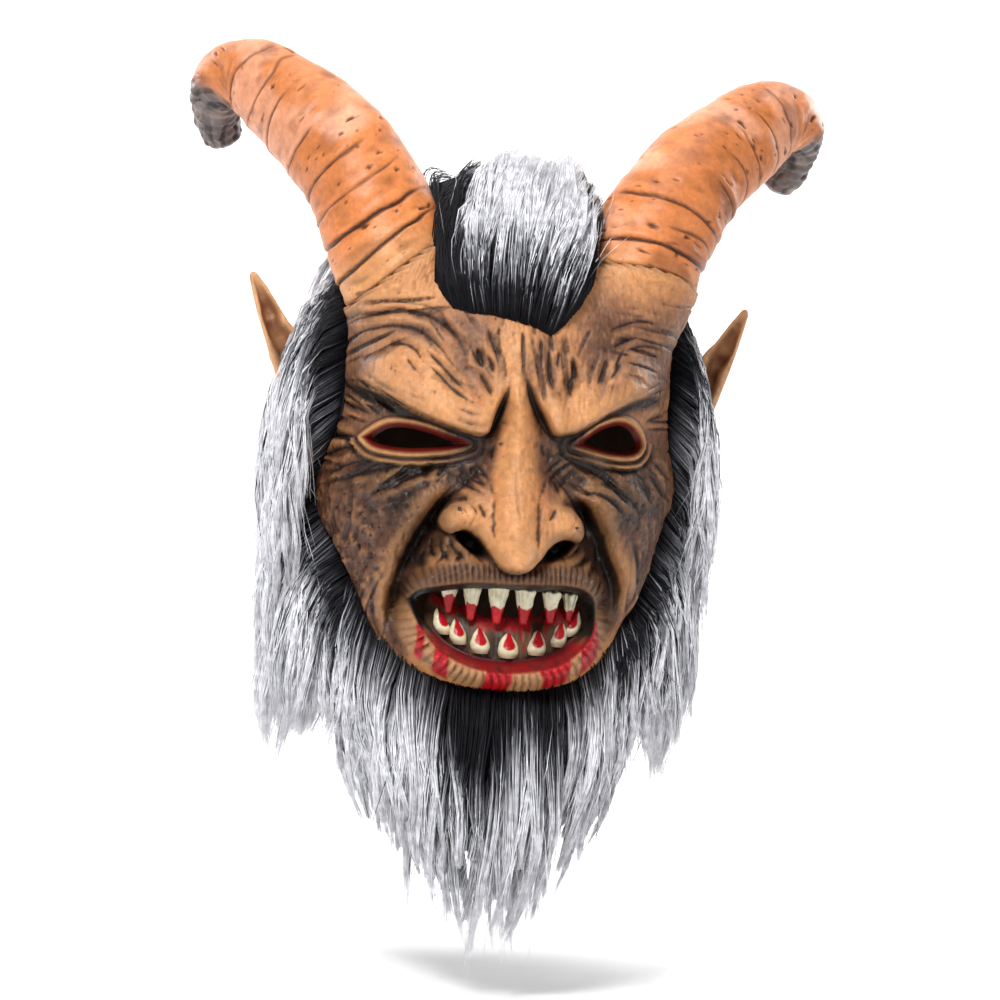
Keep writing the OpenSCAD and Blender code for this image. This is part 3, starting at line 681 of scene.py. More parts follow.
def paint_face(f):
    """Linear RGB and gloss at every point of the face: tan skin, brown washes, black creases, red
    lips, with painted shade in the hollows, under the brows and in the openings, and painted
    highlights on crests."""
    rng = f["rng"]
    h = f["h"]
    # depth under or over the blurred surface: hollows get dark wash and painted shade, crests
    # rubbed paint and painted highlight
    hollow = np.clip((gauss_blur(h, 3.0) - h) / 0.9, 0, 1)
    broad = np.clip((gauss_blur(h, 14) - h) / 4.5, 0, 1)
    proud = np.clip((h - gauss_blur(h, 6)) / 1.2, 0, 1)
    cloud = noise(X.shape, 26, rng) * 0.6 + noise(X.shape, 9, rng) * 0.4
    fine = noise(X.shape, 4, rng)
    colour = np.broadcast_to(TAN, X.shape + (3,)).copy()
    colour = mix(colour, PALE_TAN, 0.35 + 0.3 * cloud)
    # brown wash: sockets, cheeks beside the folds, under the nose, temples
    wash = np.zeros(X.shape)
    for amount, *place in BROWN_PATCHES:
        wash = 1 - (1 - wash) * (1 - np.clip(amount * blob(*place), 0, 1))
    nose_clear = 1 - np.clip(1.5 * blob(0, -26, 11, 36) + blob(1, -50, 13, 10)
                             + blob(-20, -37, 9, 6) + blob(24, -37, 9, 6), 0, 1)
    uneven = 1 + 0.12 * cloud + 0.16 * f["streaks"]
    wash = np.clip(wash * nose_clear * uneven, 0, 1)
    colour = mix(colour, DUSK, ramp(wash / 0.36))
    colour = mix(colour, BROWN, 0.92 * ramp((wash - 0.28) / 0.54))
    # near black: dark paint, and painted shadow at the inner eye corners
    deep = np.zeros(X.shape)
    for amount, *place in NEAR_BLACK_PAINT_AND_SHADOW:
        deep = 1 - (1 - deep) * (1 - np.clip(amount * blob(*place), 0, 1))
    colour = mix(colour, BLACK_BROWN,
                 0.90 * ramp((deep * nose_clear * (1 + 0.4 * f["streaks"]) - 0.12) / 0.62))
    # cavities hold the dark wash, partly a painted shade in the hollows; crests are rubbed back to
    # tan, partly a painted highlight
    colour = mix(colour, BROWN, 0.75 * broad)
    colour = mix(colour, BLACK_BROWN, 0.85 * ramp(hollow * 1.25 - 0.1))
    colour = mix(colour, BLACK_BROWN, 0.88 * f["dark"])
    crest_wear_and_highlight = proud * (0.55 - 0.30 * np.clip(deep, 0, 1)) * (1 - 0.5 * f["cheek"])
    colour = mix(colour, PALE_TAN * 0.9, crest_wear_and_highlight)
    # painted shadow under the brows
    for edge in (LEFT_BROW, RIGHT_BROW):
        above, along = over_line(edge)
        shade = ramp((above + 7.5) / 3.5) * ramp((1.2 - above) / 2.4)
        broken = np.clip(0.75 + 0.35 * f["streaks"], 0, 1)
        colour = mix(colour, BLACK_BROWN,
                     0.85 * broken * shade * ramp((1.1 - np.abs(along - 0.5) * 2) / 0.7))
    # lids: tan rims with painted shade in the valleys between the rolls, dark red inside, near
    # black deeper in as painted shade
    rings = np.exp(-(((f["eye"] - 3.1) / 0.8) ** 2)) + np.exp(-(((f["eye"] - 6.6) / 0.9) ** 2))
    colour = mix(colour, BLACK_BROWN, 0.8 * rings * (0.1 + 0.9 * f["under"]) * (0.8 + 0.3 * cloud))
    rim = np.exp(-(((f["eye"] - 1.1) / 0.9) ** 2)) + 0.6 * f["under"] * np.exp(
        -(((f["eye"] - 4.8) / 0.9) ** 2))
    colour = mix(colour, PALE_TAN * 0.8, 0.85 * rim * ramp((np.abs(X) - 27) / 14) * (
        0.85 + 0.25 * cloud))
    colour = mix(colour, EYE_RIM_RED, ramp((0.4 - f["eye"]) / 1.2))
    colour = mix(colour, BLACK_BROWN * 0.6, ramp((-1.2 - f["eye"]) / 1.4))
    # lips: brown upper band, lower band in blocks of red and tan, red inner edge
    lip = np.exp(-(((f["mouth"] - 5.0) / 4.6) ** 4))
    colour = mix(colour, LIP_TAN * 0.8, lip * (0.3 + 0.55 * (1 - f["upper_lip"])))
    colour = mix(colour, BROWN, lip * f["upper_lip"] * (0.9 + 0.1 * fine))
    colour = mix(colour, BLACK_BROWN, 0.8 * f["dark"] * lip)
    colour = mix(colour, LIP_TAN * 0.5, 0.2 * proud * lip)
    low = ramp((-83 - Z + 0.12 * np.abs(X)) / 4)
    edge = 0.8 * noise(X.shape, 8, rng)
    red_block = np.zeros(X.shape)
    for start, end in ((-38, -34.5), (-31, -23), (-9, 4), (17, 30), (35, 44)):
        red_block = np.maximum(red_block, ramp((X + edge - start) / 1.2)
                               * ramp((end - X - edge) / 1.2))
    red_lip = red_block * low * np.exp(-(((f["mouth"] - 4.4) / 5.6) ** 8))
    red = mix(np.broadcast_to(MOUTH_RED, colour.shape), DARK_RED, 0.7 * f["dark"] + 0.3 * hollow)
    colour = mix(colour, red, 1.2 * red_lip)
    inner = ramp((1.6 - f["mouth"]) / 1.6)
    lower_inner = ramp((-86 - Z) / 6)
    inner_red = mix(red, DARK_RED, 0.5 + 0.3 * fine)
    colour = mix(colour, inner_red, inner * lower_inner)
    # the upper lip's inner edge, the mouth's depth and the nostrils are painted near black as
    # painted shade
    colour = mix(colour, BLACK_BROWN * 0.4, ramp((1.3 - f["mouth"]) / 1.4) * (1 - lower_inner))
    colour = mix(colour, DARK_RED * 0.4, ramp((-2.4 - f["mouth"]) / 2))
    colour = mix(colour, BLACK_BROWN * 0.7, ramp((f["nostrils"] - 0.35) / 0.3))
    colour *= (1 + 0.07 * fine)[..., None]
    forehead = np.clip(blob(-30, 50, 60, 25) + blob(50, 50, 40, 25), 0, 1)
    gloss = (0.40 - 0.4 * ramp((2.6 - f["mouth"]) / 2) + 0.5 * f["cheek"]
             + 0.3 * blob(50, -20, 26, 20) - 0.35 * forehead + 0.15 * cloud)
    return np.concatenate([np.clip(colour, DARKEST, 1), np.clip(gloss, 0, 1)[..., None]], axis=-1)


FACE_THICK = 2.4
FACE_UV_SHARE = 0.78     # of the bake's width, for the painted side


def face_lift(phi, z):
    """How far the face's outside is from the head's surface at those places, level."""
    i = np.clip((z - FACE_LOW) / (FACE_HIGH - FACE_LOW) * (FACE_ROWS - 1), 0, FACE_ROWS - 1)
    j = np.clip((phi / FACE_EDGE + 1) / 2 * (FACE_COLS - 1), 0, FACE_COLS - 1)
    grown = np.hypot(face_points[..., 0], face_points[..., 1]) - radius_grid
    return grown[i.astype(int), j.astype(int)]


def make_face(points, fields):
    """The latex face: a painted sheet with rolled openings, a bare one behind, and rims."""
    colour = paint_face(fields)
    normals = grid_normals(points)
    faces = grid_faces(FACE_ROWS, FACE_COLS)
    used, faces = compact(faces[(fields["field"] > 0).ravel()[faces].any(axis=1)], X.size)
    outer = points.reshape(-1, 3)[used]
    inner = outer - FACE_THICK * normals.reshape(-1, 3)[used]
    across = ((phi_grid / FACE_EDGE + 1) / 2).ravel()[used]
    up = ((Z - FACE_LOW) / (FACE_HIGH - FACE_LOW)).ravel()[used]
    uv_outer = np.stack([FACE_UV_SHARE * across, up], -1)
    uv_inner = np.stack([FACE_UV_SHARE + 0.01 + (0.98 - FACE_UV_SHARE) * across, up], -1)
    # edges that only one face has carry a rim; its outer points are copies, so that its place
    # in the bake is on the bare side
    sides = np.concatenate([faces[:, [k, (k + 1) % 4]] for k in range(4)])
    key = sides.min(1).astype(np.int64) * len(outer) + sides.max(1)
    _, first, count = np.unique(key, return_index=True, return_counts=True)
    rim = sides[first[count == 1]]
    n = len(outer)
    copies = np.unique(rim)
    place = np.full(n, -1)
    place[copies] = 2 * n + np.arange(len(copies))
    rim_faces = np.stack([place[rim[:, 1]], place[rim[:, 0]], rim[:, 0] + n, rim[:, 1] + n], -1)
    shade = colour.reshape(-1, 4)[used]
    obj = mesh_object("latex_face", np.concatenate([outer, inner, outer[copies]]),
                      np.concatenate([faces, faces[:, ::-1] + n, rim_faces]),
                      np.concatenate([shade, shade, shade[copies]]),
                      np.concatenate([uv_outer, uv_inner, uv_inner[copies]]))
    bare = np.ones(len(faces) * 2 + len(rim_faces), np.int32)
    bare[:len(faces)] = 0
    obj.data.materials.append(painted_latex("painted_face", 0.38, 0.14, 1000, 0.5))
    obj.data.materials.append(bare_latex("bare_latex_inside"))
    obj.data.polygons.foreach_set("material_index", bare)
    return obj


# ---- materials ------------------------------------------------------------------------------

def node_material(name, roughness, specular=0.5, sheen=0.0, coat=0.0):
    """A new node material and its node tree, links and Principled shader."""
    material = bpy.data.materials.new(name)
    material.use_nodes = True
    tree = material.node_tree
    shader = tree.nodes["Principled BSDF"]
    shader.inputs["Roughness"].default_value = roughness
    shader.inputs["Specular IOR Level"].default_value = specular
    shader.inputs["Sheen Weight"].default_value = sheen
    shader.inputs["Coat Weight"].default_value = coat
    return material, tree, shader


def add_node(tree, kind, settings=(), **values):
    """A node of that kind, with settings as attributes and values on its inputs."""
    node = tree.nodes.new(kind)
    for key, value in dict(settings).items():
        setattr(node, key, value)
    for key, value in values.items():
        node.inputs[key.replace("_", " ")].default_value = value
    return node


def noise_node(tree, scale, detail=4.0, rough=0.6):
    """Noise on object coordinates; scale is in features per metre."""
    place = add_node(tree, "ShaderNodeTexCoord")
    node = add_node(tree, "ShaderNodeTexNoise", Scale=scale, Detail=detail, Roughness=rough)
    tree.links.new(place.outputs["Object"], node.inputs["Vector"])
    return node


def add_bump(tree, shader, heights, distance):
    """Bump from a list of (socket, strength), each on the one before."""
    last = None
    for socket, strength in heights:
        bump = add_node(tree, "ShaderNodeBump", Strength=strength, Distance=distance)
        tree.links.new(socket, bump.inputs["Height"])
        if last:
            tree.links.new(last.outputs["Normal"], bump.inputs["Normal"])
        last = bump
    tree.links.new(last.outputs["Normal"], shader.inputs["Normal"])


def mottled_paint(tree, shader, mottle, spread, tones):
    """The mesh's own paint, as the base colour, lightened and darkened between two tones as the
    mottle goes over its spread. Returns the paint's node."""
    paint = add_node(tree, "ShaderNodeAttribute", {"attribute_name": "paint"})
    tone = add_node(tree, "ShaderNodeMapRange", From_Min=spread[0], From_Max=spread[1],
                    To_Min=tones[0], To_Max=tones[1])
    shade = add_node(tree, "ShaderNodeMix", {"data_type": "RGBA", "blend_type": "MULTIPLY"})
    shade.inputs["Factor"].default_value = 1
    tree.links.new(mottle.outputs["Fac"], tone.inputs["Value"])
    tree.links.new(paint.outputs["Color"], shade.inputs["A"])
    tree.links.new(tone.outputs["Result"], shade.inputs["B"])
    tree.links.new(shade.outputs["Result"], shader.inputs["Base Color"])
    return paint


def two_tones(tree, shader, pattern, low, high):
    """Base colour from low to high as the pattern rises."""
    tint = add_node(tree, "ShaderNodeValToRGB")
    tint.color_ramp.elements[0].color = (*low, 1)
    tint.color_ramp.elements[1].color = (*high, 1)
    tree.links.new(pattern.outputs["Fac"], tint.inputs["Fac"])
    tree.links.new(tint.outputs["Color"], shader.inputs["Base Color"])


def painted_latex(name, roughness=0.42, spread=0.16, grain=1100, bump=0.35):
    """Latex with the mesh's own paint, mottled, with uneven gloss and a fine pebbled grain. The
    paint's alpha says how wet it looks."""
    material, tree, shader = node_material(name, roughness, 0.34)
    paint = mottled_paint(tree, shader, noise_node(tree, 420, 5, 0.65), (0.25, 0.75),
                          (0.80, 1.18))
    links = tree.links
    gloss = add_node(tree, "ShaderNodeMapRange", To_Min=roughness - spread,
                     To_Max=roughness + spread)
    patches = noise_node(tree, 130, 4, 0.6)
    links.new(patches.outputs["Fac"], gloss.inputs["Value"])
    wet = add_node(tree, "ShaderNodeMapRange", To_Min=1.3, To_Max=0.62)
    both = add_node(tree, "ShaderNodeMath", {"operation": "MULTIPLY"})
    links.new(paint.outputs["Alpha"], wet.inputs["Value"])
    links.new(gloss.outputs["Result"], both.inputs[0])
    links.new(wet.outputs["Result"], both.inputs[1])
    links.new(both.outputs["Value"], shader.inputs["Roughness"])
    pebble = noise_node(tree, grain, 3, 0.7)
    add_bump(tree, shader, [(pebble.outputs["Fac"], bump)], 0.0006)
    return material


def bare_latex(name):
    """Unpainted dark latex of the mask's inside, cloudy and dull."""
    material, tree, shader = node_material(name, 0.7, 0.3)
    two_tones(tree, shader, noise_node(tree, 45, 5, 0.6), (0.045, 0.024, 0.015),
              (0.13, 0.07, 0.04))
    add_bump(tree, shader, [(noise_node(tree, 500).outputs["Fac"], 0.4)], 0.0006)
    return material


def foam_rubber():
    """Open-cell foam of the horn cores."""
    material, tree, shader = node_material("foam_rubber", 0.95, 0.1)
    cells = noise_node(tree, 900, 3, 0.7)
    two_tones(tree, shader, cells, (0.38, 0.31, 0.12), (0.66, 0.58, 0.30))
    add_bump(tree, shader, [(cells.outputs["Fac"], 0.6)], 0.0008)
    return material


def woven_cloth():
    """Black knitted backing of the fur, ribbed both ways."""
    material, tree, shader = node_material("knitted_backing", 0.9, 0.15, sheen=0.3)
    place = add_node(tree, "ShaderNodeTexCoord")
    rib = add_node(tree, "ShaderNodeTexWave", {"bands_direction": "X"}, Scale=180)
    row = add_node(tree, "ShaderNodeTexWave", {"bands_direction": "Z"}, Scale=140)
    for wave in (rib, row):
        tree.links.new(place.outputs["Object"], wave.inputs["Vector"])
    two_tones(tree, shader, rib, (0.008, 0.008, 0.010), (0.035, 0.035, 0.040))
    add_bump(tree, shader, [(rib.outputs["Fac"], 0.5), (row.outputs["Fac"], 0.4)], 0.0005)
    return material


# ---- horns and ears -------------------------------------------------------------------------

HORN_TAN = np.array([0.62, 0.285, 0.110])
HORN_ORANGE = np.array([0.70, 0.230, 0.070])
HORN_PINK_HIGHLIGHT = np.array([0.88, 0.41, 0.24])
HORN_STAIN = np.array([0.155, 0.040, 0.012])
HORN_TIP = np.array([0.135, 0.105, 0.095])
WRAP_LAP = 24       # columns over which noise round the horn fades into its own start
HORN_END = 7        # length of the blunt round end
HORN_SUNK = 3.5     # how deep the horn's foot goes into the head
# Creases: place along the horn, depth, half-width, slant, and share of the way round
LEFT_RINGS = [(0.185, 2.2, 1.1, 8, 1), (0.245, 1.8, 0.9, 10, 1), (0.305, 2.0, 1.0, 7, 1),
              (0.365, 0.7, 0.8, 8, 0.45), (0.425, 1.3, 0.9, 5, 0.6), (0.52, 0.9, 0.8, 4, 0.45),
              (0.60, 0.9, 0.7, 2, 0.5), (0.665, 0.7, 0.7, 0, 0.55), (0.73, 0.7, 0.6, -1, 0.7)]
RIGHT_RINGS = [(0.195, 2.2, 1.0, -9, 1), (0.25, 2.0, 1.0, -9, 1), (0.30, 0.8, 0.8, -6, 0.5),
               (0.35, 1.3, 0.9, -5, 0.65), (0.425, 1.5, 1.0, -6, 0.65), (0.50, 0.8, 0.8, -4, 0.45),
               (0.57, 0.9, 0.8, -3, 0.55), (0.64, 1.0, 0.8, 0, 0.65), (0.71, 0.7, 0.7, 1, 0.7)]


def make_horn(name, side, rings, rng):
    """A curled horn: overlapping folds of latex with creases, pits and a dark striped tip."""
    centre, radius, run, u, v = horn_frame()
    length = run[-1]
    # a blunt round end
    end = np.clip((run - (length - HORN_END)) / HORN_END, 0, 1)
    radius = radius * np.sqrt(1 - end**2.4) + 0.05
    turn = np.linspace(0, 2 * math.pi, HORN_SIDES, endpoint=False)
    place, angle = np.meshgrid(run, turn, indexing="ij")
    shape = place.shape

    def wrapped(cells):
        field = noise((shape[0], shape[1] + WRAP_LAP), cells, rng)
        fade = ramp(np.linspace(0, 1, WRAP_LAP))
        field[:, :WRAP_LAP] = field[:, :WRAP_LAP] * fade + field[:, -WRAP_LAP:] * (1 - fade)
        return field[:, :shape[1]]

    lift = 0.65 * wrapped(34) + 0.38 * wrapped(14) + 0.16 * wrapped(5)
    # below the first crease the horn is under the face's skin
    past = place - rings[0][0] * length - crease_wander(angle, rings[0][3])
    lift = lift * ramp((past + 4) / 4) - 1.8 * (1 - ramp((past + 2.5) / 2.5))
    dark = np.zeros(shape)
    for place_share, deep, wide, slant, cover in rings:
        wander = crease_wander(angle, slant)
        if place_share > rings[0][0]:
            wander = wander + 1.3 * wrapped(26) + 0.35 * wrapped(7)
        off = place - place_share * length - wander
        there = ramp((np.cos(angle - rng.uniform(-0.8, 0.8) - 4.4) + 2.15 * cover - 1.05) / 0.5)
        wide = 0.8 * wide
        cut = np.exp(-((off / wide) ** 2)) * there
        lift -= deep * cut
        # the fold above overlaps the one below, like a scale
        lift += 0.26 * deep * np.exp(-(((off - 3.4 * wide) / (2.6 * wide)) ** 2)) * there
        lift -= 0.14 * deep * np.exp(-(((off + 2.4 * wide) / (2.2 * wide)) ** 2)) * there
        dark = np.maximum(dark, cut * min(deep / 1.9, 1))
    # short nicks and pits
    nick = ramp((noise((shape[0], shape[1] * 3), 5, rng)[:, :shape[1]] * 0.6
                 + wrapped(3) - 1.65) / 0.4)
    pits = ramp((wrapped(2.4) - 1.9) / 0.5) * ramp((0.62 - place / length) / 0.2)
    lift -= 0.8 * nick + 0.7 * pits
    dark = np.maximum(dark, 0.75 * np.maximum(nick, pits))
    share = place / length
    tip = ramp((share - 0.795 - 0.05 * np.cos(angle - 3.4)) / 0.055)
    stripes = ramp((np.sin(9 * angle + 2.2 * wrapped(22)) + 0.5 * wrapped(6)) / 0.8)
    lift -= 0.55 * tip * stripes
    lift += 0.35 * tip * np.sin(run * 1.15)[:, None]
    grown = (radius[:, None] + lift * ramp(radius / 6)[:, None])[..., None]
    points = centre[:, None] + grown * (np.cos(angle)[..., None] * u[:, None]
                                        + np.sin(angle)[..., None] * v[:, None])
    # paint: tan at the root, orange above with pink painted highlights, brown stains, grey tip
    cloud, fine = wrapped(30), wrapped(4)
    colour = mix(np.broadcast_to(HORN_TAN, shape + (3,)), HORN_ORANGE,
                 ramp((share - 0.155 + 0.03 * cloud) / 0.15))
    colour = mix(colour, HORN_PINK_HIGHLIGHT, 0.8 * ramp((wrapped(20) - 0.1) / 1.1)
                 * ramp((share - 0.18) / 0.1))
    inner = ramp((-np.cos(angle - 0.6 + side * 0.2) - 0.15) / 0.7)
    colour = mix(colour, HORN_STAIN, 0.55 * ramp((wrapped(24) + 0.5 * wrapped(9) - 0.85) / 1.1))
    colour = mix(colour, HORN_STAIN, 0.28 * inner * ramp((share - 0.2) / 0.2))
    # darker in the hollows: partly stain, partly painted shade
    broad = np.clip((gauss_blur(lift, 4) - lift) / 0.55, 0, 1)
    colour = mix(colour, HORN_STAIN * 0.8, 0.75 * broad)
    grey = mix(np.broadcast_to(HORN_TIP, colour.shape), HORN_TIP * 0.22, 0.8 * stripes)
    grey = mix(grey, HORN_TIP * 2.6, 0.35 * ramp(wrapped(12)))
    colour = mix(colour, grey, tip)
    crease_paint = mix(np.broadcast_to(BLACK_BROWN * 1.6, colour.shape), HORN_STAIN * 0.4,
                       ramp((share - 0.3) / 0.1) * (1 - tip))
    colour = mix(colour, crease_paint, 0.85 * dark)
    # the root has the forehead's washes
    streaked = ramp((wrapped(7) + 0.8 * wrapped(16) - 0.7) / 0.9) * ramp((0.21 - share) / 0.05)
    colour = mix(colour, BROWN, 0.65 * streaked)
    colour *= (1 + 0.08 * fine)[..., None]
    points = points.reshape(-1, 3)
    if side < 0:
        points[:, 0] *= -1
    faces = grid_faces(HORN_RINGS, HORN_SIDES, closed=True)
    if side < 0:
        faces = faces[:, ::-1]
    # what lies inside the head is left out
    phi = np.arctan2(points[:, 0], -points[:, 1])
    depth = (head_radius(phi, np.minimum(points[:, 2], CROWN_Z - 1))
             - np.hypot(points[:, 0], points[:, 1]))
    used, faces = compact(faces[(depth[faces] < HORN_SUNK).any(axis=1)], len(points))
    return mesh_object(name, points[used], faces,
                       np.clip(colour, DARKEST, 1).reshape(-1, 3)[used],
                       tube_uv(angle, share)[used])


EAR_ROOT = np.array([83, -2, 0])
EAR_DIR = unit([38, 7, 71])
EAR_OUT = unit([-0.25, -0.95, 0.2])
EAR_BEND = np.array([-0.35, 0.2, 0.1])      # the way the tip leans
EAR_LEN, EAR_HALF_W, EAR_THICK = 80, 13, 3
EAR_TAN = np.array([0.62, 0.33, 0.16])
EAR_RUST = np.array([0.135, 0.036, 0.010])


def make_ear(name, side, rng):
    """A narrow pointed ear: a leaf hollow in front, with a rolled rim and a knobbed tip."""
    rows, sides = 150, 72
    t, turn = tube_grid(rows, sides)
    across = unit(np.cross(EAR_DIR, EAR_OUT))
    out = np.cross(across, EAR_DIR)
    half = 1.6 + (EAR_HALF_W - 1.6) * (1 - t**1.5) * ramp(t * 3 + 0.5)
    u = np.sign(np.cos(turn)) * np.abs(np.cos(turn)) ** 0.8
    front = np.maximum(np.sin(turn), 0)
    w = noise((rows, sides), 12, rng)
    w = w * ramp(np.minimum(turn, 2 * math.pi - turn) / 0.6)
    dish = (5.2 * np.exp(-((u / 0.62) ** 4)) * front**0.5 * ramp((1 - t) / 0.25)
            * ramp(t / 0.2 + 0.2))
    body = EAR_THICK * 1.25 * np.sign(np.sin(turn)) * np.abs(np.sin(turn)) ** 0.7
    lift = (6.5 * np.abs(u) ** 2.4 * (1 - t) + body * (0.55 + 0.45 * ramp((1 - t) / 0.3))
            - dish + 0.35 * w)
    lift = np.maximum(lift, np.where(front > 0, 6.5 * np.abs(u) ** 2.4 * (1 - t) - 1.6, -20))
    bend = (5.0 * t**2.2)[..., None] * EAR_BEND
    point = (EAR_ROOT + EAR_LEN * t[..., None] * EAR_DIR
             + (half * (u + 0.10 * w))[..., None] * across
             + lift[..., None] * out + bend)
    end = np.sqrt(np.clip(1 - ((t - 0.965) / 0.035) ** 2, 0, 1)) * (t > 0.965) + (t <= 0.965)
    axis = EAR_ROOT + EAR_LEN * t[..., None] * EAR_DIR + bend
    point = axis + (point - axis) * end[..., None]
    hollow = np.broadcast_to(ramp(dish / 3.0), lift.shape)
    edge = np.exp(-(((u - 0.72) / 0.16) ** 2)) * (front > 0)
    colour = mix(np.broadcast_to(EAR_TAN, lift.shape + (3,)), EAR_RUST,
                 0.9 * hollow * (0.75 + 0.2 * noise(lift.shape, 9, rng)))
    colour = mix(colour, BLACK_BROWN,
                 0.55 * np.broadcast_to(edge, lift.shape) * ramp((1 - t) / 0.4))
    colour = mix(colour, EAR_RUST, 0.35 * ramp(noise(lift.shape, 16, rng) - 0.3))
    colour = mix(colour, EAR_TAN * 1.15, 0.3 * ramp(noise(lift.shape, 5, rng) - 0.6))
    point = point.reshape(-1, 3)
    faces = grid_faces(rows, sides, closed=True)
    if side < 0:
        point[:, 0] *= -1
    else:
        faces = faces[:, ::-1]
    return mesh_object(name, point, faces, np.clip(colour, DARKEST, 1).reshape(-1, 3),
                       tube_uv(turn, t))


# ---- teeth and gums -------------------------------------------------------------------------

MOUTH_X, GUM_HALF_W = 2, 36
# Middle, half-width, height of the top and of the tip, height where the red starts
UPPER_TEETH = [(-24, 3.9, -69.5, -81.0, -73.0), (-14.2, 4.4, -68.2, -83.5, -76.0),
               (-2.6, 5.4, -66.2, -84.5, -76.5), (9.6, 5.0, -67.8, -84.0, -76.3),
               (22.0, 4.5, -68.0, -82.8, -76.0), (31.2, 3.5, -68.6, -81.6, -76.4)]
# Middle, height of the middle, half-width, lean to the side, and lean of the red
LOWER_TEETH = [(-26.2, -86.4, 4.0, -0.35, 0.5), (-19.0, -90.3, 4.2, -0.2, 0.2),
               (-9.2, -93.6, 4.7, -0.08, 0.1), (3.4, -94.9, 5.0, 0.0, 0.1),
               (16.6, -93.0, 4.6, 0.05, 0.1), (26.9, -88.8, 4.2, 0.2, -0.1),
               (33.0, -83.8, 4.0, 0.4, -0.3)]
STAINED_TOOTH = 5       # the upper tooth with dark lines down it
TOOTH_CREAM = np.array([0.74, 0.66, 0.40])
TOOTH_WHITE = np.array([0.80, 0.76, 0.60])
TOOTH_RED = np.array([0.43, 0.006, 0.012])
GUM_TAN = np.array([0.135, 0.066, 0.027])
GUM_GREY = np.array([0.040, 0.022, 0.012])


def arch_y(x):
    """Front of the gum arch at x from the middle of the mouth."""
    return -89 + x * x / 95


def make_upper_tooth(i, rng):
    """A flat-topped wedge with upright ridges, cream above and blood red below."""
    x, half, top, tip, red_z = UPPER_TEETH[i]
    rows, sides = 44, 56
    t, turn = tube_grid(rows, sides)
    wide = half * (1 - 0.70 * t**0.9) * np.sqrt(1 - np.clip((t - 0.93) / 0.07, 0, 1) ** 2)
    wide = wide * np.sqrt(1 - np.clip((0.05 - t) / 0.05, 0, 1) ** 2 * 0.75) + 0.02
    ridge_cut = 0.05 * np.cos(13 * turn + i) * (1 - t) + 0.04 * noise((rows, sides), 6, rng)
    c, s = np.cos(turn), np.sin(turn)
    px = wide * np.sign(c) * np.abs(c) ** 0.8 * (1 + ridge_cut)
    py = 0.78 * wide * np.sign(s) * np.abs(s) ** 0.8 * (1 + ridge_cut)
    z = top + (tip - top) * t + 0 * turn + 0.35 * np.cos(5 * turn + i) * (1 - t) ** 6
    y = arch_y(x - MOUTH_X) + 3.4 + py + 0.8 * t
    point = np.stack([x + px, y, z], -1)
    streak = noise((rows, sides), 5, rng)
    colour = mix(np.broadcast_to(TOOTH_CREAM, z.shape + (3,)), TOOTH_WHITE, 0.5 + 0.4 * streak)
    colour = mix(colour, np.array([0.30, 0.27, 0.19]), 0.5 * ramp(-ridge_cut / 0.05) * (1 - t))
    edge = red_z + 0.5 * np.sin(3 * turn + i) + 0.35 * streak
    colour = mix(colour, TOOTH_RED, ramp((edge - z) / 0.5 + 0.5))
    if i == STAINED_TOOTH:
        colour = mix(colour, np.array([0.06, 0.05, 0.045]),
                     0.8 * ramp((np.cos(7 * turn) - 0.55) / 0.2) * (1 - t) * (z > edge))
    return mesh_object(f"tooth_upper_{i + 1}", point.reshape(-1, 3),
                       grid_faces(rows, sides, closed=True), colour.reshape(-1, 3),
                       tube_uv(turn, t))


def make_lower_tooth(i, rng):
    """A blunt tooth like a bud: cream with a red teardrop from its tip."""
    x, middle, half, lean, red_lean = LOWER_TEETH[i]
    rows, sides = 36, 48
    t, turn = tube_grid(rows, sides)
    wide = half * np.sin(math.pi * np.clip(0.22 + 0.78 * t, 0, 1)) ** 0.75 * (1 - 0.22 * t) + 0.02
    bumps = 1 + 0.05 * noise((rows, sides), 7, rng)
    c, s = np.cos(turn), np.sin(turn)
    high = (t - 0.36) * 11.5
    px = wide * c * bumps
    py = 0.85 * wide * s * bumps
    y = arch_y(x - MOUTH_X) + 4.6 + py - 1.6 + 3.2 * t
    point = np.stack([x + px + lean * high, y + 0 * px, middle + high + 0 * px], -1)
    streak = noise((rows, sides), 5, rng)
    colour = mix(np.broadcast_to(TOOTH_CREAM, px.shape + (3,)), TOOTH_WHITE, 0.4 + 0.4 * streak)
    colour = mix(colour, np.array([0.33, 0.20, 0.10]), 0.75 * ramp((0.30 - t) / 0.25) + 0 * px)
    across = px / half - red_lean * 0.5
    drop = np.hypot(across / (0.20 + 0.42 * ramp((0.95 - t) / 0.55)),
                    np.minimum(t - 0.52, 0) / 0.22)
    facing = s < 0.2
    colour = mix(colour, TOOTH_RED, ramp((1.05 - drop) / 0.16) * facing)
    return mesh_object(f"tooth_lower_{i + 1}", point.reshape(-1, 3),
                       grid_faces(rows, sides, closed=True), colour.reshape(-1, 3),
                       tube_uv(turn, t))


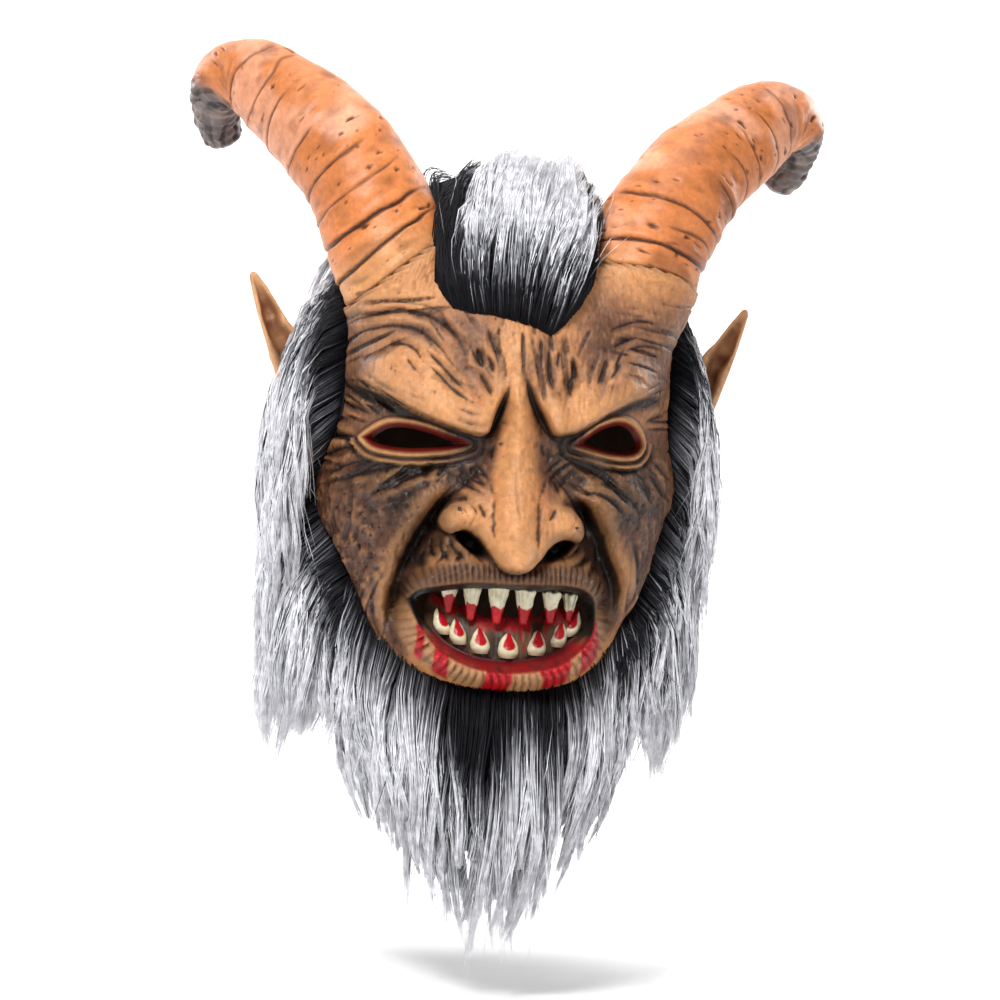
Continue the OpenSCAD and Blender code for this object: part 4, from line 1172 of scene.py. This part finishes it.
def make_gum(name, upper, rng):
    """A bumpy band of gum along the arch, swelling round each tooth, smeared with red."""
    rows, sides = 180, 60
    x = np.linspace(-GUM_HALF_W, GUM_HALF_W, rows)[:, None]
    turn = np.linspace(0, 2 * math.pi, sides, endpoint=False)[None]
    c, s = np.cos(turn), np.sin(turn)
    ends = np.sqrt(np.clip(1 - (np.abs(x) / GUM_HALF_W) ** 10, 0.02, 1))
    if upper:
        z0, tall, deep, back = -64 + 0 * x, 4.0, 3.2, 6.6
        leans = 0
    else:
        z0, tall, deep, back = -93.5 + x * x / 95, 11.5, 3.4, 8.6
        leans = 0.30
    bump = noise((rows, sides), 9, rng)
    fine = noise((rows, sides), 4, rng)
    r = (1 + 0.10 * bump) * ends
    y = arch_y(x) + back + deep * s * r
    z = z0 + tall * c * r
    y = y + leans * (z - z0)
    teeth = UPPER_TEETH if upper else LOWER_TEETH
    socket = np.zeros((rows, sides))
    for tooth in teeth:
        tx = tooth[0] - MOUTH_X
        tz = tooth[2] + 1 if upper else tooth[1] + 4
        near = ((x - tx) / 4.2) ** 2 + ((z - tz) / 5.5) ** 2
        socket += np.exp(-near) - 0.7 * np.exp(-near * 3.5)
    front = s < 0.25
    y = y - 2.4 * socket * front + 0.25 * fine
    point = np.stack(np.broadcast_arrays(MOUTH_X + x, y, z), -1)
    blotch = 0.7 * bump + 0.6 * fine
    colour = mix(np.broadcast_to(GUM_TAN, z.shape + (3,)), GUM_GREY, 0.55 - 0.35 * bump)
    high = ramp((z - z0) / tall)
    red = ramp((blotch - 0.9) / 0.5) if upper else ramp((blotch + 2.8 * high - 1.2) / 0.8)
    colour = mix(colour, TOOTH_RED * 0.75, 0.9 * red)
    hollow = np.clip((gauss_blur(socket, 2) - socket) / 0.12, 0, 1)
    colour = mix(colour, np.array([0.03, 0.012, 0.010]), 0.8 * hollow)
    if upper:
        # the upper gum is painted near black as the shade behind the upper lip
        colour = mix(colour, np.array([0.02, 0.010, 0.009]), 0.85 + 0 * z)
    else:
        colour = mix(colour, DARK_RED, 0.85 * ramp((z0 - z - 5) / 4))
    uv = np.stack(np.broadcast_arrays((x / GUM_HALF_W + 1) / 2, turn / (2 * math.pi)), -1)
    return mesh_object(name, point.reshape(-1, 3), grid_faces(rows, sides, closed=True)[:, ::-1],
                       np.clip(colour, DARKEST, 1).reshape(-1, 3), uv.reshape(-1, 2))


# ---- fur ------------------------------------------------------------------------------------

FUR_HALF_W, FUR_BACK = 106, 124
# Height, half-width, front and back of the fur's outside, as in the CAD
FUR_LEVELS = np.array([
    [-0.985, 0.88, 0.80, 0.80], [-0.90, 0.93, 0.84, 0.86], [-0.70, 0.96, 0.93, 0.91],
    [-0.40, 0.97, 0.98, 0.96], [-0.067, 1.00, 1.00, 1.00], [0.133, 0.99, 1.00, 1.00],
    [0.26, 0.95, 0.97, 0.98], [0.40, 0.88, 0.92, 0.93], [0.60, 0.70, 0.78, 0.78],
]) * [NECK_DROP, FUR_HALF_W, FUR_HALF_W, FUR_BACK]
FUR_CURVE = spline(FUR_LEVELS, 300)
STRAND_RINGS = 6
STRAND_SIDES = 3
STRANDS_PER_PIECE = 5900


def fur_radius(phi, z):
    """Distance of the fur's outside from the upright axis, as head_radius gives the head's."""
    a, front, back = (np.interp(z, FUR_CURVE[:, 0], FUR_CURVE[:, n]) for n in (1, 2, 3))
    depth = np.where(np.cos(phi) > 0, front, back)
    p = SECTION_POWER
    return (np.abs(np.sin(phi) / a) ** p + np.abs(np.cos(phi) / depth) ** p) ** (-1 / p)


def on_head(phi, z, lift=0.0):
    """Points on the head's surface, lifted off it by lift."""
    r = head_radius(phi, z) + lift
    return np.stack([r * np.sin(phi), -r * np.cos(phi), z], axis=-1)


def push_out(p, clear, high=95):
    """Points moved out so that none is closer to the head's axis than its surface and clear."""
    p = p.copy()
    phi = np.arctan2(p[:, 0], -p[:, 1])
    r = np.hypot(p[:, 0], p[:, 1])
    need = head_radius(phi, np.minimum(p[:, 2], high)) + clear
    low = (p[:, 2] < high) & (r < need)
    p[low, :2] *= (need[low] / np.maximum(r[low], 1e-6))[:, None]
    size = np.array([[HEAD_HALF_W, HEAD_BACK, CROWN_Z - BROW_Z]]) + np.reshape(clear, (-1, 1))
    q = (p - [0, 0, BROW_Z]) / size
    deep = np.linalg.norm(q, axis=1)
    top = (p[:, 2] >= high) & (deep < 1)
    p[top] = (q / np.maximum(deep, 1e-6)[:, None] * size)[top] + [0, 0, BROW_Z]
    return p


def grow(roots, lengths, flow, rng, clump=60, gather=0.75, wild=0.05, curl=0.10, clear=1.5,
         frizz=1.0):
    """Strands as (count, rings, 3). The clumps' paths follow flow(points, share, root points);
    each strand keeps its place in its clump and closes on the clump's path by gather."""
    count = len(roots)
    leads = rng.choice(count, max(count // clump, 4), replace=False)
    clear = np.broadcast_to(clear, count)[leads]
    near = np.argmin(((roots[:, None, :2] - roots[None, leads, :2]) ** 2).sum(-1)
                     + (roots[:, None, 2] - roots[None, leads, 2]) ** 2, axis=1)
    steps = STRAND_RINGS - 1
    fine = 4 * steps
    p = roots[leads].copy()
    phase = rng.uniform(0, 2 * math.pi, (len(leads), 3))
    size = lengths[leads] * rng.uniform(0.78, 1.10, len(leads))
    path = [p]
    for i in range(fine):
        share = (i + 0.5) / fine
        way = unit(flow(p, share, roots[leads]))
        way = way + curl * np.sin(phase + share * 5.5) * (0.35 + share)
        p = push_out(p + unit(way) * (size / fine)[:, None], clear * (0.4 + 4 * share))
        path.append(p)
    path = np.stack(path, axis=1)
    # each strand reads its clump's path at its own pace
    pace = lengths / size[near] * rng.uniform(0.80, 1.04, count)
    at = np.clip(np.linspace(0, 1, STRAND_RINGS)[None] * pace[:, None], 0, 1) * fine
    i = np.minimum(at.astype(int), fine - 1)
    f = (at - i)[..., None]
    own = path[near[:, None], i] * (1 - f) + path[near[:, None], i + 1] * f
    t = np.linspace(0, 1, STRAND_RINGS)[None, :, None]
    offset = (roots - roots[leads][near])[:, None]
    strands = own + offset * (1 - gather * t**1.3)
    loose = rng.standard_normal((count, 1, 3)) * (rng.random((count, 1, 1)) < wild)
    strands += loose * 7 * t**1.5
    strands += frizz * rng.standard_normal((count, 1, 3)) * t * (1 - 0.45 * t)
    waver = rng.uniform(0, 2 * math.pi, (count, 1, 3))
    return strands + 0.7 * frizz * np.sin(waver + 7 * t) * t


def strand_tubes(strands, thick, rng):
    """Points and faces of thin tapered tubes round the strands, closed at both ends."""
    count, rings, _ = strands.shape
    along = unit(np.gradient(strands, axis=1))
    ref = unit(rng.standard_normal((count, 1, 3)))
    u = unit(np.cross(along, ref))
    v = np.cross(along, u)
    t = np.linspace(0, 1, rings)[None, :, None]
    radius = thick[:, None, None] * (0.85 + 0.35 * np.sin(math.pi * t)) * (1 - t) ** 0.55 + 0.045
    turns = np.arange(STRAND_SIDES) * 2 * math.pi / STRAND_SIDES
    points = np.stack([strands + radius * (math.cos(a) * u + math.sin(a) * v) for a in turns],
                      axis=2)
    n = rings * STRAND_SIDES
    quads = []
    for r in range(rings - 1):
        for k in range(STRAND_SIDES):
            a, b = r * STRAND_SIDES + k, r * STRAND_SIDES + (k + 1) % STRAND_SIDES
            quads += [(a, b, b + STRAND_SIDES), (a, b + STRAND_SIDES, a + STRAND_SIDES)]
    last = (rings - 1) * STRAND_SIDES
    quads += [(2, 1, 0), (last, last + 1, last + 2)]
    faces = (np.array(quads)[None] + (np.arange(count) * n)[:, None, None]).reshape(-1, 3)
    return points.reshape(-1, 3), faces


FUR_BLACK = np.array([0.006, 0.006, 0.009])
FUR_GREY = np.array([0.20, 0.205, 0.235])
FUR_WHITE = np.array([0.90, 0.90, 0.94])
# pale fur dimmed to grey: painted shade among the strands
MAT_PALE_SHADED = np.array([0.50, 0.505, 0.54])


def fur_objects(name, strands, kinds, rng, thick=0.32, mat=None):
    """Meshes of strands, and in the first the mat of short fur under them, black or a grey that is
    pale fur with painted shade among the strands.
    """
    parts = math.ceil(len(strands) / STRANDS_PER_PIECE)
    return [fur_object(f"{name}_{k + 1}", strands[k::parts], kinds[k::parts], rng, thick,
                       mat if k == 0 else None) for k in range(parts)]


def fur_object(name, strands, kinds, rng, thick, mat):
    """One mesh of strands. A strand's kind, from 0 to 1, says how early it turns from black to
    silver; its colour depends on kind and place alone, so the bake fits one small picture."""
    count = len(strands)
    radius = thick * rng.uniform(0.7, 1.25, count)
    points, faces = strand_tubes(strands, radius, rng)
    t = np.tile(np.repeat(np.linspace(0, 1, STRAND_RINGS), STRAND_SIDES), count)
    kind = np.repeat(kinds, STRAND_RINGS * STRAND_SIDES)
    uv = np.stack([0.02 + 0.96 * kind, 0.12 + 0.86 * t], axis=-1)
    turn = 1.02 - 0.92 * kind
    colour = np.where((t < turn)[:, None],
                      FUR_BLACK + (FUR_GREY - FUR_BLACK) * ramp((t - turn + 0.12) / 0.12)[:, None],
                      FUR_GREY + (FUR_WHITE - FUR_GREY) * ramp((t - turn) / 0.13)[:, None])
    if mat is not None:
        mat_points, mat_faces, shade = mat
        faces = np.concatenate([faces, mat_faces + len(points)])
        points = np.concatenate([points, mat_points])
        uv = np.concatenate([uv, np.stack([0.02 + 0.96 * shade, np.full(len(shade), 0.03)], -1)])
        colour = np.concatenate([colour, mix(np.broadcast_to(FUR_BLACK, mat_points.shape),
                                             MAT_PALE_SHADED, shade)])
    obj = mesh_object(name, points, faces, np.clip(colour, 0, 1), uv)
    obj.data.materials.append(FUR_MATERIAL)
    return obj


def shell_mat(side, starts, end, share=0.42):
    """A closed slab of fur mat on one side of the head, from the start angle at each height
    round to the end angle, that fills share of the way out to the fur's outside."""
    z = np.linspace(-118, 84, 40)[:, None]
    low = np.interp(z, FUR_START_Z, starts)
    t = np.linspace(0, 1, 26)[None]
    if side < 0:
        t = t[:, ::-1]
    turn = low + (end - low) * t
    phi = np.radians(turn) * side
    z = np.broadcast_to(z, phi.shape)
    inner = head_radius(phi, z) - 0.6
    thin = ramp((turn - low) / 35) * ramp((z + 118) / 20) * ramp((84 - z) / 20)
    outer = np.maximum(inner + 1.4, inner + (fur_radius(phi, z) - inner) * share * thin)
    rings = [np.stack([r * np.sin(phi), -r * np.cos(phi), z], -1).reshape(-1, 3)
             for r in (inner, outer)]
    shade = ramp((turn - low - 9) / 16) * ramp((44 - z) / 30)
    return slab(rings[0], rings[1], *phi.shape) + (np.tile(shade.ravel(), 2),)


def slab(inner, outer, rows, cols):
    """Points and triangles of a closed slab between two grids of the same size."""
    n = rows * cols
    quads = grid_faces(rows, cols)
    sides = []
    loop = ([(0, c) for c in range(cols)] + [(r, cols - 1) for r in range(1, rows)]
            + [(rows - 1, c) for c in range(cols - 2, -1, -1)]
            + [(r, 0) for r in range(rows - 2, 0, -1)])
    ids = [r * cols + c for r, c in loop]
    for a, b in zip(ids, ids[1:] + ids[:1]):
        sides.append((a, b, b + n, a + n))
    every = np.concatenate([quads + n, quads[:, ::-1], np.array(sides)[:, ::-1]])
    triangles = np.concatenate([every[:, [0, 1, 2]], every[:, [0, 2, 3]]])
    return np.concatenate([inner, outer]), triangles


# Angle from the front where the fur starts on each side, at heights from the jaw to the temple
FUR_START_Z = FACE_BORDER_Z
FUR_UNDER_SKIN = 1.2    # degrees by which it starts under the skin's edge
FUR_STARTS = {-1: np.array(FACE_BORDER_LEFT) - FUR_UNDER_SKIN,
              1: np.array(FACE_BORDER_RIGHT) - FUR_UNDER_SKIN}


def make_side_fur(side, rng):
    """The long fur beside the face: black at the face's edge, silver where it falls."""
    count = 3 * STRANDS_PER_PIECE
    edge = rng.random(count) < 0.38
    z = np.where(edge, rng.uniform(-108, 78, count), rng.uniform(-98, 84, count))
    # the fur starts where the skin ends: by the temple above, well forward along the jaw below
    start = np.interp(z, FUR_START_Z, FUR_STARTS[side])
    apart = np.where(edge, 9 * rng.random(count) ** 1.3, (139 - start) * rng.random(count))
    phi = np.radians(start + apart) * side
    room = fur_radius(phi, z) - head_radius(phi, z)
    roots = on_head(phi, z, 0.4 + 0.34 * room * ramp(apart / 26) * rng.random(count))
    lengths = np.clip(z + 150 + 6 * rng.standard_normal(count), 34, 104)
    lengths += 12 * ramp((apart - 24) / 12)
    lengths *= np.where(apart < 12, 0.92, 1.0) * (1.04 - 0.28 * rng.random(count) ** 2)

    def flow(p, share, root):
        angle = np.arctan2(p[:, 0], -p[:, 1])
        away = np.stack([np.sin(angle), -np.cos(angle), 0 * angle], axis=-1)
        round_back = np.stack([np.cos(angle), np.sin(angle), 0 * angle], axis=-1) * side
        front = ramp((math.radians(104) - np.abs(angle)) / math.radians(30))[:, None]
        left = fur_radius(angle, p[:, 2]) - np.hypot(p[:, 0], p[:, 1])
        high = ramp((root[:, 2] + 10) / 55)[:, None]
        lift = 0.9 * (1 - ramp(share / 0.45)) + 0.55 * high * (1 - ramp(share / 0.8))
        lift = lift * ramp((left[:, None] + 1) / 12)
        pull = -0.8 * ramp(-(left[:, None] + 0.5) / 7)
        sweep = round_back * front * (0.45 * (1 - ramp(share / 0.5)))
        return away * (lift + pull) + sweep + np.array([0, 0, -1]) * (0.75 + 0.6 * share)

    strands = grow(roots, lengths, flow, rng, clump=80, gather=0.66, wild=0.02, curl=0.20,
                   clear=1.0 + 2.6 * ramp(apart / 14), frizz=0.9)
    kinds = 0.84 + 0.12 * ramp(apart / 12) + 0.07 * rng.standard_normal(count)
    kinds -= 0.26 * ramp((-z - 52) / 30) * (1 - ramp(apart / 12))
    kinds -= 0.20 * ramp((z - 10) / 40) * (1 - ramp(apart / 24))
    dark = rng.random(count) < np.where(apart < 12, 0.16, 0.04)
    kinds = np.where(dark, rng.uniform(0.02, 0.5, count), kinds)
    name = "fur_right" if side > 0 else "fur_left"
    return fur_objects(name, strands, np.clip(kinds, 0.02, 0.98), rng, thick=0.27,
                       mat=shell_mat(side, FUR_STARTS[side], 138))


def make_back_fur(rng):
    """The fur on the back of the head, hanging to the nape."""
    count = STRANDS_PER_PIECE
    z = rng.uniform(-96, 92, count)
    phi = np.radians(rng.uniform(136, 224, count))
    roots = on_head(phi, z, 0.4)
    lengths = np.clip(z + 166 + 8 * rng.standard_normal(count), 46, 112)

    def flow(p, share, root):
        angle = np.arctan2(p[:, 0], -p[:, 1])
        away = np.stack([np.sin(angle), -np.cos(angle), 0 * angle], axis=-1)
        room = fur_radius(angle, p[:, 2]) - np.hypot(p[:, 0], p[:, 1])
        lift = 0.9 * (1 - ramp(share / 0.45)) * ramp((room + 3) / 12)[:, None]
        return away * (lift - 0.6 * ramp(-room / 8)[:, None]) + np.array([0, 0, -1]) * (
            0.5 + 0.5 * share)

    strands = grow(roots, lengths, flow, rng, clump=60, gather=0.62, wild=0.02, curl=0.20,
                   frizz=0.9)
    kinds = np.clip(0.86 + 0.12 * rng.standard_normal(count), 0.05, 0.98)
    return fur_objects("fur_back", strands, kinds, rng, thick=0.38,
                       mat=shell_mat(1, np.full(len(FUR_START_Z), 137), 223))


# The hairline on the forehead: heights at places from left to right
HAIRLINE_X = [-37, -33, -30, -22, -14, -4, 6, 13, 19, 25, 31]
HAIRLINE_Z = [68, 60, 56, 54, 54, 52, 49.5, 46.5, 52, 60, 72]


def make_crown_fur(rng):
    """The tuft that stands up between the horns and sweeps back over the crown."""
    count = 3 * STRANDS_PER_PIECE
    tuft = rng.random(count) < 0.42
    x = np.where(tuft, rng.uniform(-37, 31, count), 0)
    low = np.interp(x, HAIRLINE_X, HAIRLINE_Z)
    z_front = low + 32 * rng.random(count) ** 1.5
    turn = np.radians(rng.uniform(34, 88, count))
    front_r = head_radius(0 * x, z_front)
    round_way = np.radians(rng.uniform(66, 294, count))
    turn = np.where(np.cos(round_way) > 0.14, np.maximum(turn, np.radians(58)), turn)
    z = np.where(tuft, z_front, BROW_Z + (CROWN_Z - BROW_Z) * np.sin(turn))
    phi = np.where(tuft, np.arcsin(np.clip(x / front_r, -1, 1)), round_way)
    roots = on_head(phi, z, 0.4 + np.where(tuft, np.clip(face_lift(phi, z), 0, 12), 0))
    hairline = np.where(tuft, z_front - low, 40)
    lengths = np.where(tuft, 80 + 0.2 * hairline, 66) * rng.uniform(0.8, 1.1, count)

    def flow(p, share, root):
        q = p - np.array([0, 10, BROW_Z])
        normal = unit(q / np.array([HEAD_HALF_W, HEAD_BACK, CROWN_Z - BROW_Z]) ** 2)
        back = np.array([0, 1, 0]) - normal * normal[:, 1:2]
        down = np.array([0, 0, -1]) + normal * normal[:, 2:3]
        behind = ramp((p[:, 1:2] - 10) / 40)
        side = ramp((np.abs(p[:, :1]) - 34) / 25)
        way = unit(back) * (1 - behind) * (1 - 0.7 * side) + down * np.maximum(behind, 0.7 * side)
        front = ramp((-root[:, 1:2] - 30) / 30)
        lift = (0.34 + 0.26 * front) * (1 - ramp(share / 0.7)) + 0.10 * front
        blown = np.array([0.46, 0, 0]) * share**1.5 * front
        raised = normal * lift
        raised[:, 0] *= 1 - front[:, 0]
        raised[:, 0] -= 0.012 * front[:, 0] * p[:, 0]
        return way + raised + blown

    strands = grow(roots, lengths, flow, rng, clump=46, gather=0.5, wild=0.03, curl=0.14,
                   clear=1.2, frizz=0.9)
    middle = ramp((x + 33) / 12) * ramp((29 - x) / 8)
    pale = 0.06 + (0.56 + 0.26 * ramp((hairline - 1) / 14)) * middle
    kinds = np.where(tuft, pale + (0.05 + 0.10 * middle) * rng.standard_normal(count),
                     0.84 - 0.3 * ramp((np.cos(round_way) + 0.1) / 0.25)
                     + 0.12 * rng.standard_normal(count))
    rows, cols = 12, 60
    grids = []
    for full in (1.0, 7.0):
        turn, phi = np.meshgrid(np.radians(np.linspace(32, 89, rows)),
                                np.linspace(0, 2 * math.pi, cols))
        lift = np.where(np.cos(phi) > 0.2, np.minimum(full, 1.6), full)
        k = np.cos(turn)
        depth = np.where(np.cos(phi) > 0, HEAD_FRONT, HEAD_BACK)
        grid = np.stack([(HEAD_HALF_W * k + lift) * np.sin(phi),
                         -(depth * k + lift) * np.cos(phi),
                         BROW_Z + (CROWN_Z - BROW_Z + lift) * np.sin(turn)], -1)
        grids.append(grid.reshape(-1, 3))
    shade = 0.8 * ramp((0.1 - np.cos(phi).ravel()) / 0.5)
    return fur_objects("fur_crown", strands, np.clip(kinds, 0.03, 0.98), rng, thick=0.27,
                       mat=slab(grids[0], grids[1], cols, rows) + (np.tile(shade, 2),))


JAW = [(-66, -48, -74), (-60, -58, -90), (-48, -70, -103), (-33, -82, -111), (-16, -90, -116),
       (1, -93, -118), (18, -90, -116), (33, -82, -109), (45, -71, -100), (57, -58, -88),
       (64, -48, -74)]


def make_beard(rng):
    """The beard: black under the jaw, falling in locks with silver tips."""
    count = 3 * STRANDS_PER_PIECE
    jaw = spline(JAW, 200)
    place = rng.random(count)
    inner = rng.random(count) ** 1.3
    roots = jaw[(place * 199).astype(int)] + rng.normal(0, 1.2, (count, 3))
    roots[:, 1] += 27 * inner
    roots[:, 2] += 4 - 13 * inner
    roots[:, 0] *= 1 - 0.12 * inner
    middle = np.exp(-((roots[:, 0] - 4) / 42) ** 2)
    lengths = (76 + 34 * middle + 6 * inner) * rng.uniform(0.80, 1.05, count)

    def flow(p, share, root):
        outward = unit(np.stack([root[:, 0] * 0.9, root[:, 1] + 20, 0 * root[:, 0]], -1))
        spread = 0.45 * (1 - ramp(share / 0.35))
        narrow = np.stack([-(p[:, 0] - 4) / 60, 0 * p[:, 0], 0 * p[:, 0]], -1)
        return outward * spread + narrow * 0.38 * ramp((share - 0.35) / 0.5) + np.array([0, 0, -1])

    strands = grow(roots, lengths, flow, rng, clump=95, gather=0.80, wild=0.02, curl=0.17,
                   clear=0.5, frizz=0.7)
    x = roots[:, 0]
    kinds = 0.56 + 0.30 * ramp((np.abs(x - 4) - 14) / 20) + 0.10 * rng.standard_normal(count)
    kinds += 0.30 * np.exp(-(((x - 11) / 8) ** 2)) - 0.22 * np.exp(-(((x + 14) / 9) ** 2))
    kinds = np.where(rng.random(count) < 0.08, rng.uniform(0.05, 0.4, count), kinds)
    kinds = np.clip(kinds, 0.02, 0.97)
    rows, cols = 14, 24
    drop, turn = np.meshgrid(np.linspace(0, 1, rows), np.linspace(0, 2 * math.pi, cols),
                             indexing="ij")
    half = 40 - 24 * drop
    deep = 9 * (0.35 + np.sin(math.pi * np.clip(drop, 0.08, 0.95))) * 0.7
    core = np.stack([3 + half * np.cos(turn),
                     -80 + deep * np.sin(turn) - 2 + 6 * np.abs(np.cos(turn)) ** 2,
                     -121 - 66 * drop + 12 * (1 - drop) * np.cos(turn) ** 2], -1)
    quads = grid_faces(rows, cols)
    tris = np.concatenate([quads[:, [0, 1, 2]], quads[:, [0, 2, 3]]])
    shade = (0.6 * ramp((drop - 0.35) / 0.4) * ramp((np.abs(core[..., 0] - 2) - 4) / 12)).ravel()
    return fur_objects("fur_beard", strands, kinds, rng, thick=0.27,
                       mat=(core.reshape(-1, 3), tris, shade))


def fur_material():
    """Faux fur: the strand's own colour, a little uneven from place to place."""
    material, tree, shader = node_material("pile_fur", 0.55, 0.22)
    mottled_paint(tree, shader, noise_node(tree, 260, 2, 0.5), (0.3, 0.7), (0.72, 1.2))
    return material


FUR_MATERIAL = fur_material()


# ---- the pieces -----------------------------------------------------------------------------

def fit_piece(obj, nodes, body="mask"):
    """A piece of the visual model that stands for those CAD nodes."""
    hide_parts(*nodes)
    if body:
        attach(obj, body)


face_points, face_fields = sculpt()
face = make_face(face_points, face_fields)
fit_piece(face, ["face_skin"])

horn_paint = painted_latex("painted_horn", 0.36, 0.12, 900, 0.40)
ear_paint = painted_latex("painted_ear", 0.45, 0.12, 1200, 0.35)
for word, side, rings in (("left", -1, LEFT_RINGS), ("right", 1, RIGHT_RINGS)):
    horn = make_horn(f"{word}_horn", side, rings, np.random.default_rng(40 + side))
    horn.data.materials.append(horn_paint)
    fit_piece(horn, [f"{word}_horn_shell"])
    ear = make_ear(f"{word}_ear_leaf", side, np.random.default_rng(50 + side))
    ear.data.materials.append(ear_paint)
    fit_piece(ear, [f"{word}_ear"])

tooth_paint = painted_latex("painted_tooth", 0.28, 0.08, 1500, 0.2)
gum_paint = painted_latex("painted_gum", 0.42, 0.12, 1000, 0.5)
for i in range(len(UPPER_TEETH)):
    tooth = make_upper_tooth(i, np.random.default_rng(60 + i))
    tooth.data.materials.append(tooth_paint)
    fit_piece(tooth, [f"upper_tooth_{i + 1}"])
for i in range(len(LOWER_TEETH)):
    tooth = make_lower_tooth(i, np.random.default_rng(70 + i))
    tooth.data.materials.append(tooth_paint)
    fit_piece(tooth, [f"lower_tooth_{i + 1}"])
for upper in (True, False):
    word = "upper" if upper else "lower"
    gum = make_gum(f"{word}_gum_band", upper, np.random.default_rng(80 + upper))
    gum.data.materials.append(gum_paint)
    fit_piece(gum, [f"{word}_gum"])

for pieces, node in ((make_side_fur(-1, np.random.default_rng(21)), "left_side_fur"),
                     (make_side_fur(1, np.random.default_rng(22)), "right_side_fur"),
                     (make_back_fur(np.random.default_rng(23)), "back_fur"),
                     (make_crown_fur(np.random.default_rng(24)), "crown_fur")):
    for piece in pieces:
        fit_piece(piece, [node])
for piece in make_beard(np.random.default_rng(25)):
    fit_piece(piece, ["beard_fur"], body=None)
    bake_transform(piece)

carried_over = {"hood": bare_latex("bare_latex_hood"), "left_horn_core": foam_rubber(),
                "beard_strip": woven_cloth()}
carried_over["right_horn_core"] = carried_over["left_horn_core"]
for node, material in carried_over.items():
    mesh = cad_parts[node].data
    mesh.materials.clear()
    mesh.materials.append(material)


# ---- stage, light and camera ----------------------------------------------------------------

FLOOR_DROP = 24


def make_stage():
    """A pale floor that curves up into a backdrop, standing just under the beard."""
    floor_z = cad_box[0][2] / MM - FLOOR_DROP
    deep, tall, bend, wide = 2400, 2600, 600, 4000
    profile = [(-2600, 0), (deep - bend, 0)]
    profile += [(deep - bend + bend * math.sin(t), bend - bend * math.cos(t))
                for t in np.linspace(0.1, math.pi / 2, 14)]
    profile.append((deep, tall))
    points = [(x, y, floor_z + z) for x in (-wide, wide) for y, z in profile]
    stage = mesh_object("backdrop", points, grid_faces(2, len(profile))[:, ::-1])
    material, tree, shader = node_material("backdrop_paper", 0.9, 0.1)
    grain = noise_node(tree, 60, 3)
    tint = add_node(tree, "ShaderNodeMapRange", To_Min=0.86, To_Max=0.90)
    tree.links.new(grain.outputs["Fac"], tint.inputs["Value"])
    tree.links.new(tint.outputs["Result"], shader.inputs["Base Color"])
    stage.data.materials.append(material)


def soft_light(name, place, size, power, aim=(0, 0, -40)):
    """A square area light in watts at a place in mm, turned to its aim."""
    data = bpy.data.lights.new(name, "AREA")
    data.energy, data.size = power, size * MM
    lamp = bpy.data.objects.new(name, data)
    lamp.location = Vector(place) * MM
    lamp.rotation_euler = (Vector(aim) - Vector(place)).to_track_quat("-Z", "Y").to_euler()
    bpy.context.scene.collection.objects.link(lamp)


def make_lights():
    """A big soft key from above on the left, a broad fill, two rims, one for the wall, and
    pale air."""
    soft_light("key", (-700, -1400, 1300), 460, 36)
    soft_light("fill", (1400, -1400, 250), 1300, 6)
    soft_light("top", (0, -100, 1700), 1000, 10)
    soft_light("back_left", (-1300, 1100, 700), 700, 12)
    soft_light("back_right", (1300, 1100, 700), 700, 12)
    soft_light("wall", (0, 700, 1500), 1800, 60, aim=(0, 2400, 500))
    world = bpy.data.worlds.new("air")
    world.use_nodes = True
    tree = world.node_tree
    air = tree.nodes["Background"]
    air.inputs["Color"].default_value = (1, 1, 1, 1)
    # paler near the horizon than overhead
    way = add_node(tree, "ShaderNodeTexCoord")
    parts = add_node(tree, "ShaderNodeSeparateXYZ")
    height = add_node(tree, "ShaderNodeMapRange", From_Min=0.22, From_Max=0.6, To_Min=0.40,
                      To_Max=0.16)
    tree.links.new(way.outputs["Generated"], parts.inputs["Vector"])
    tree.links.new(parts.outputs["Z"], height.inputs["Value"])
    tree.links.new(height.outputs["Result"], air.inputs["Strength"])
    bpy.context.scene.world = world


CAMERA_AZIMUTH = -7      # degrees to the mask's left
CAMERA_AIM = (5.6, 0, -28.5)
CAMERA_REACH = 1600      # from the aim point
FRAME_WIDTH = 474        # what the frame spans at the aim point
CAMERA_ROLL = 4          # degrees, as the head leans
SENSOR = 36              # width of the camera's sensor


def make_camera():
    """The camera, a little to the left of the mask and rolled with it."""
    data = bpy.data.cameras.new("camera")
    data.sensor_width = SENSOR
    data.lens = SENSOR * CAMERA_REACH / FRAME_WIDTH
    data.clip_end = 20
    camera = bpy.data.objects.new("camera", data)
    turn = math.radians(CAMERA_AZIMUTH)
    aim = Vector(CAMERA_AIM) * MM
    away = Vector((math.sin(turn), -math.cos(turn), 0))
    camera.location = aim + away * CAMERA_REACH * MM
    look = (-away).to_track_quat("-Z", "Y")
    camera.rotation_euler = look.to_euler()
    camera.rotation_euler.rotate_axis("Z", math.radians(CAMERA_ROLL))
    bpy.context.scene.collection.objects.link(camera)
    bpy.context.scene.camera = camera


make_stage()
make_lights()
make_camera()
bpy.context.scene.view_settings.view_transform = "Standard"
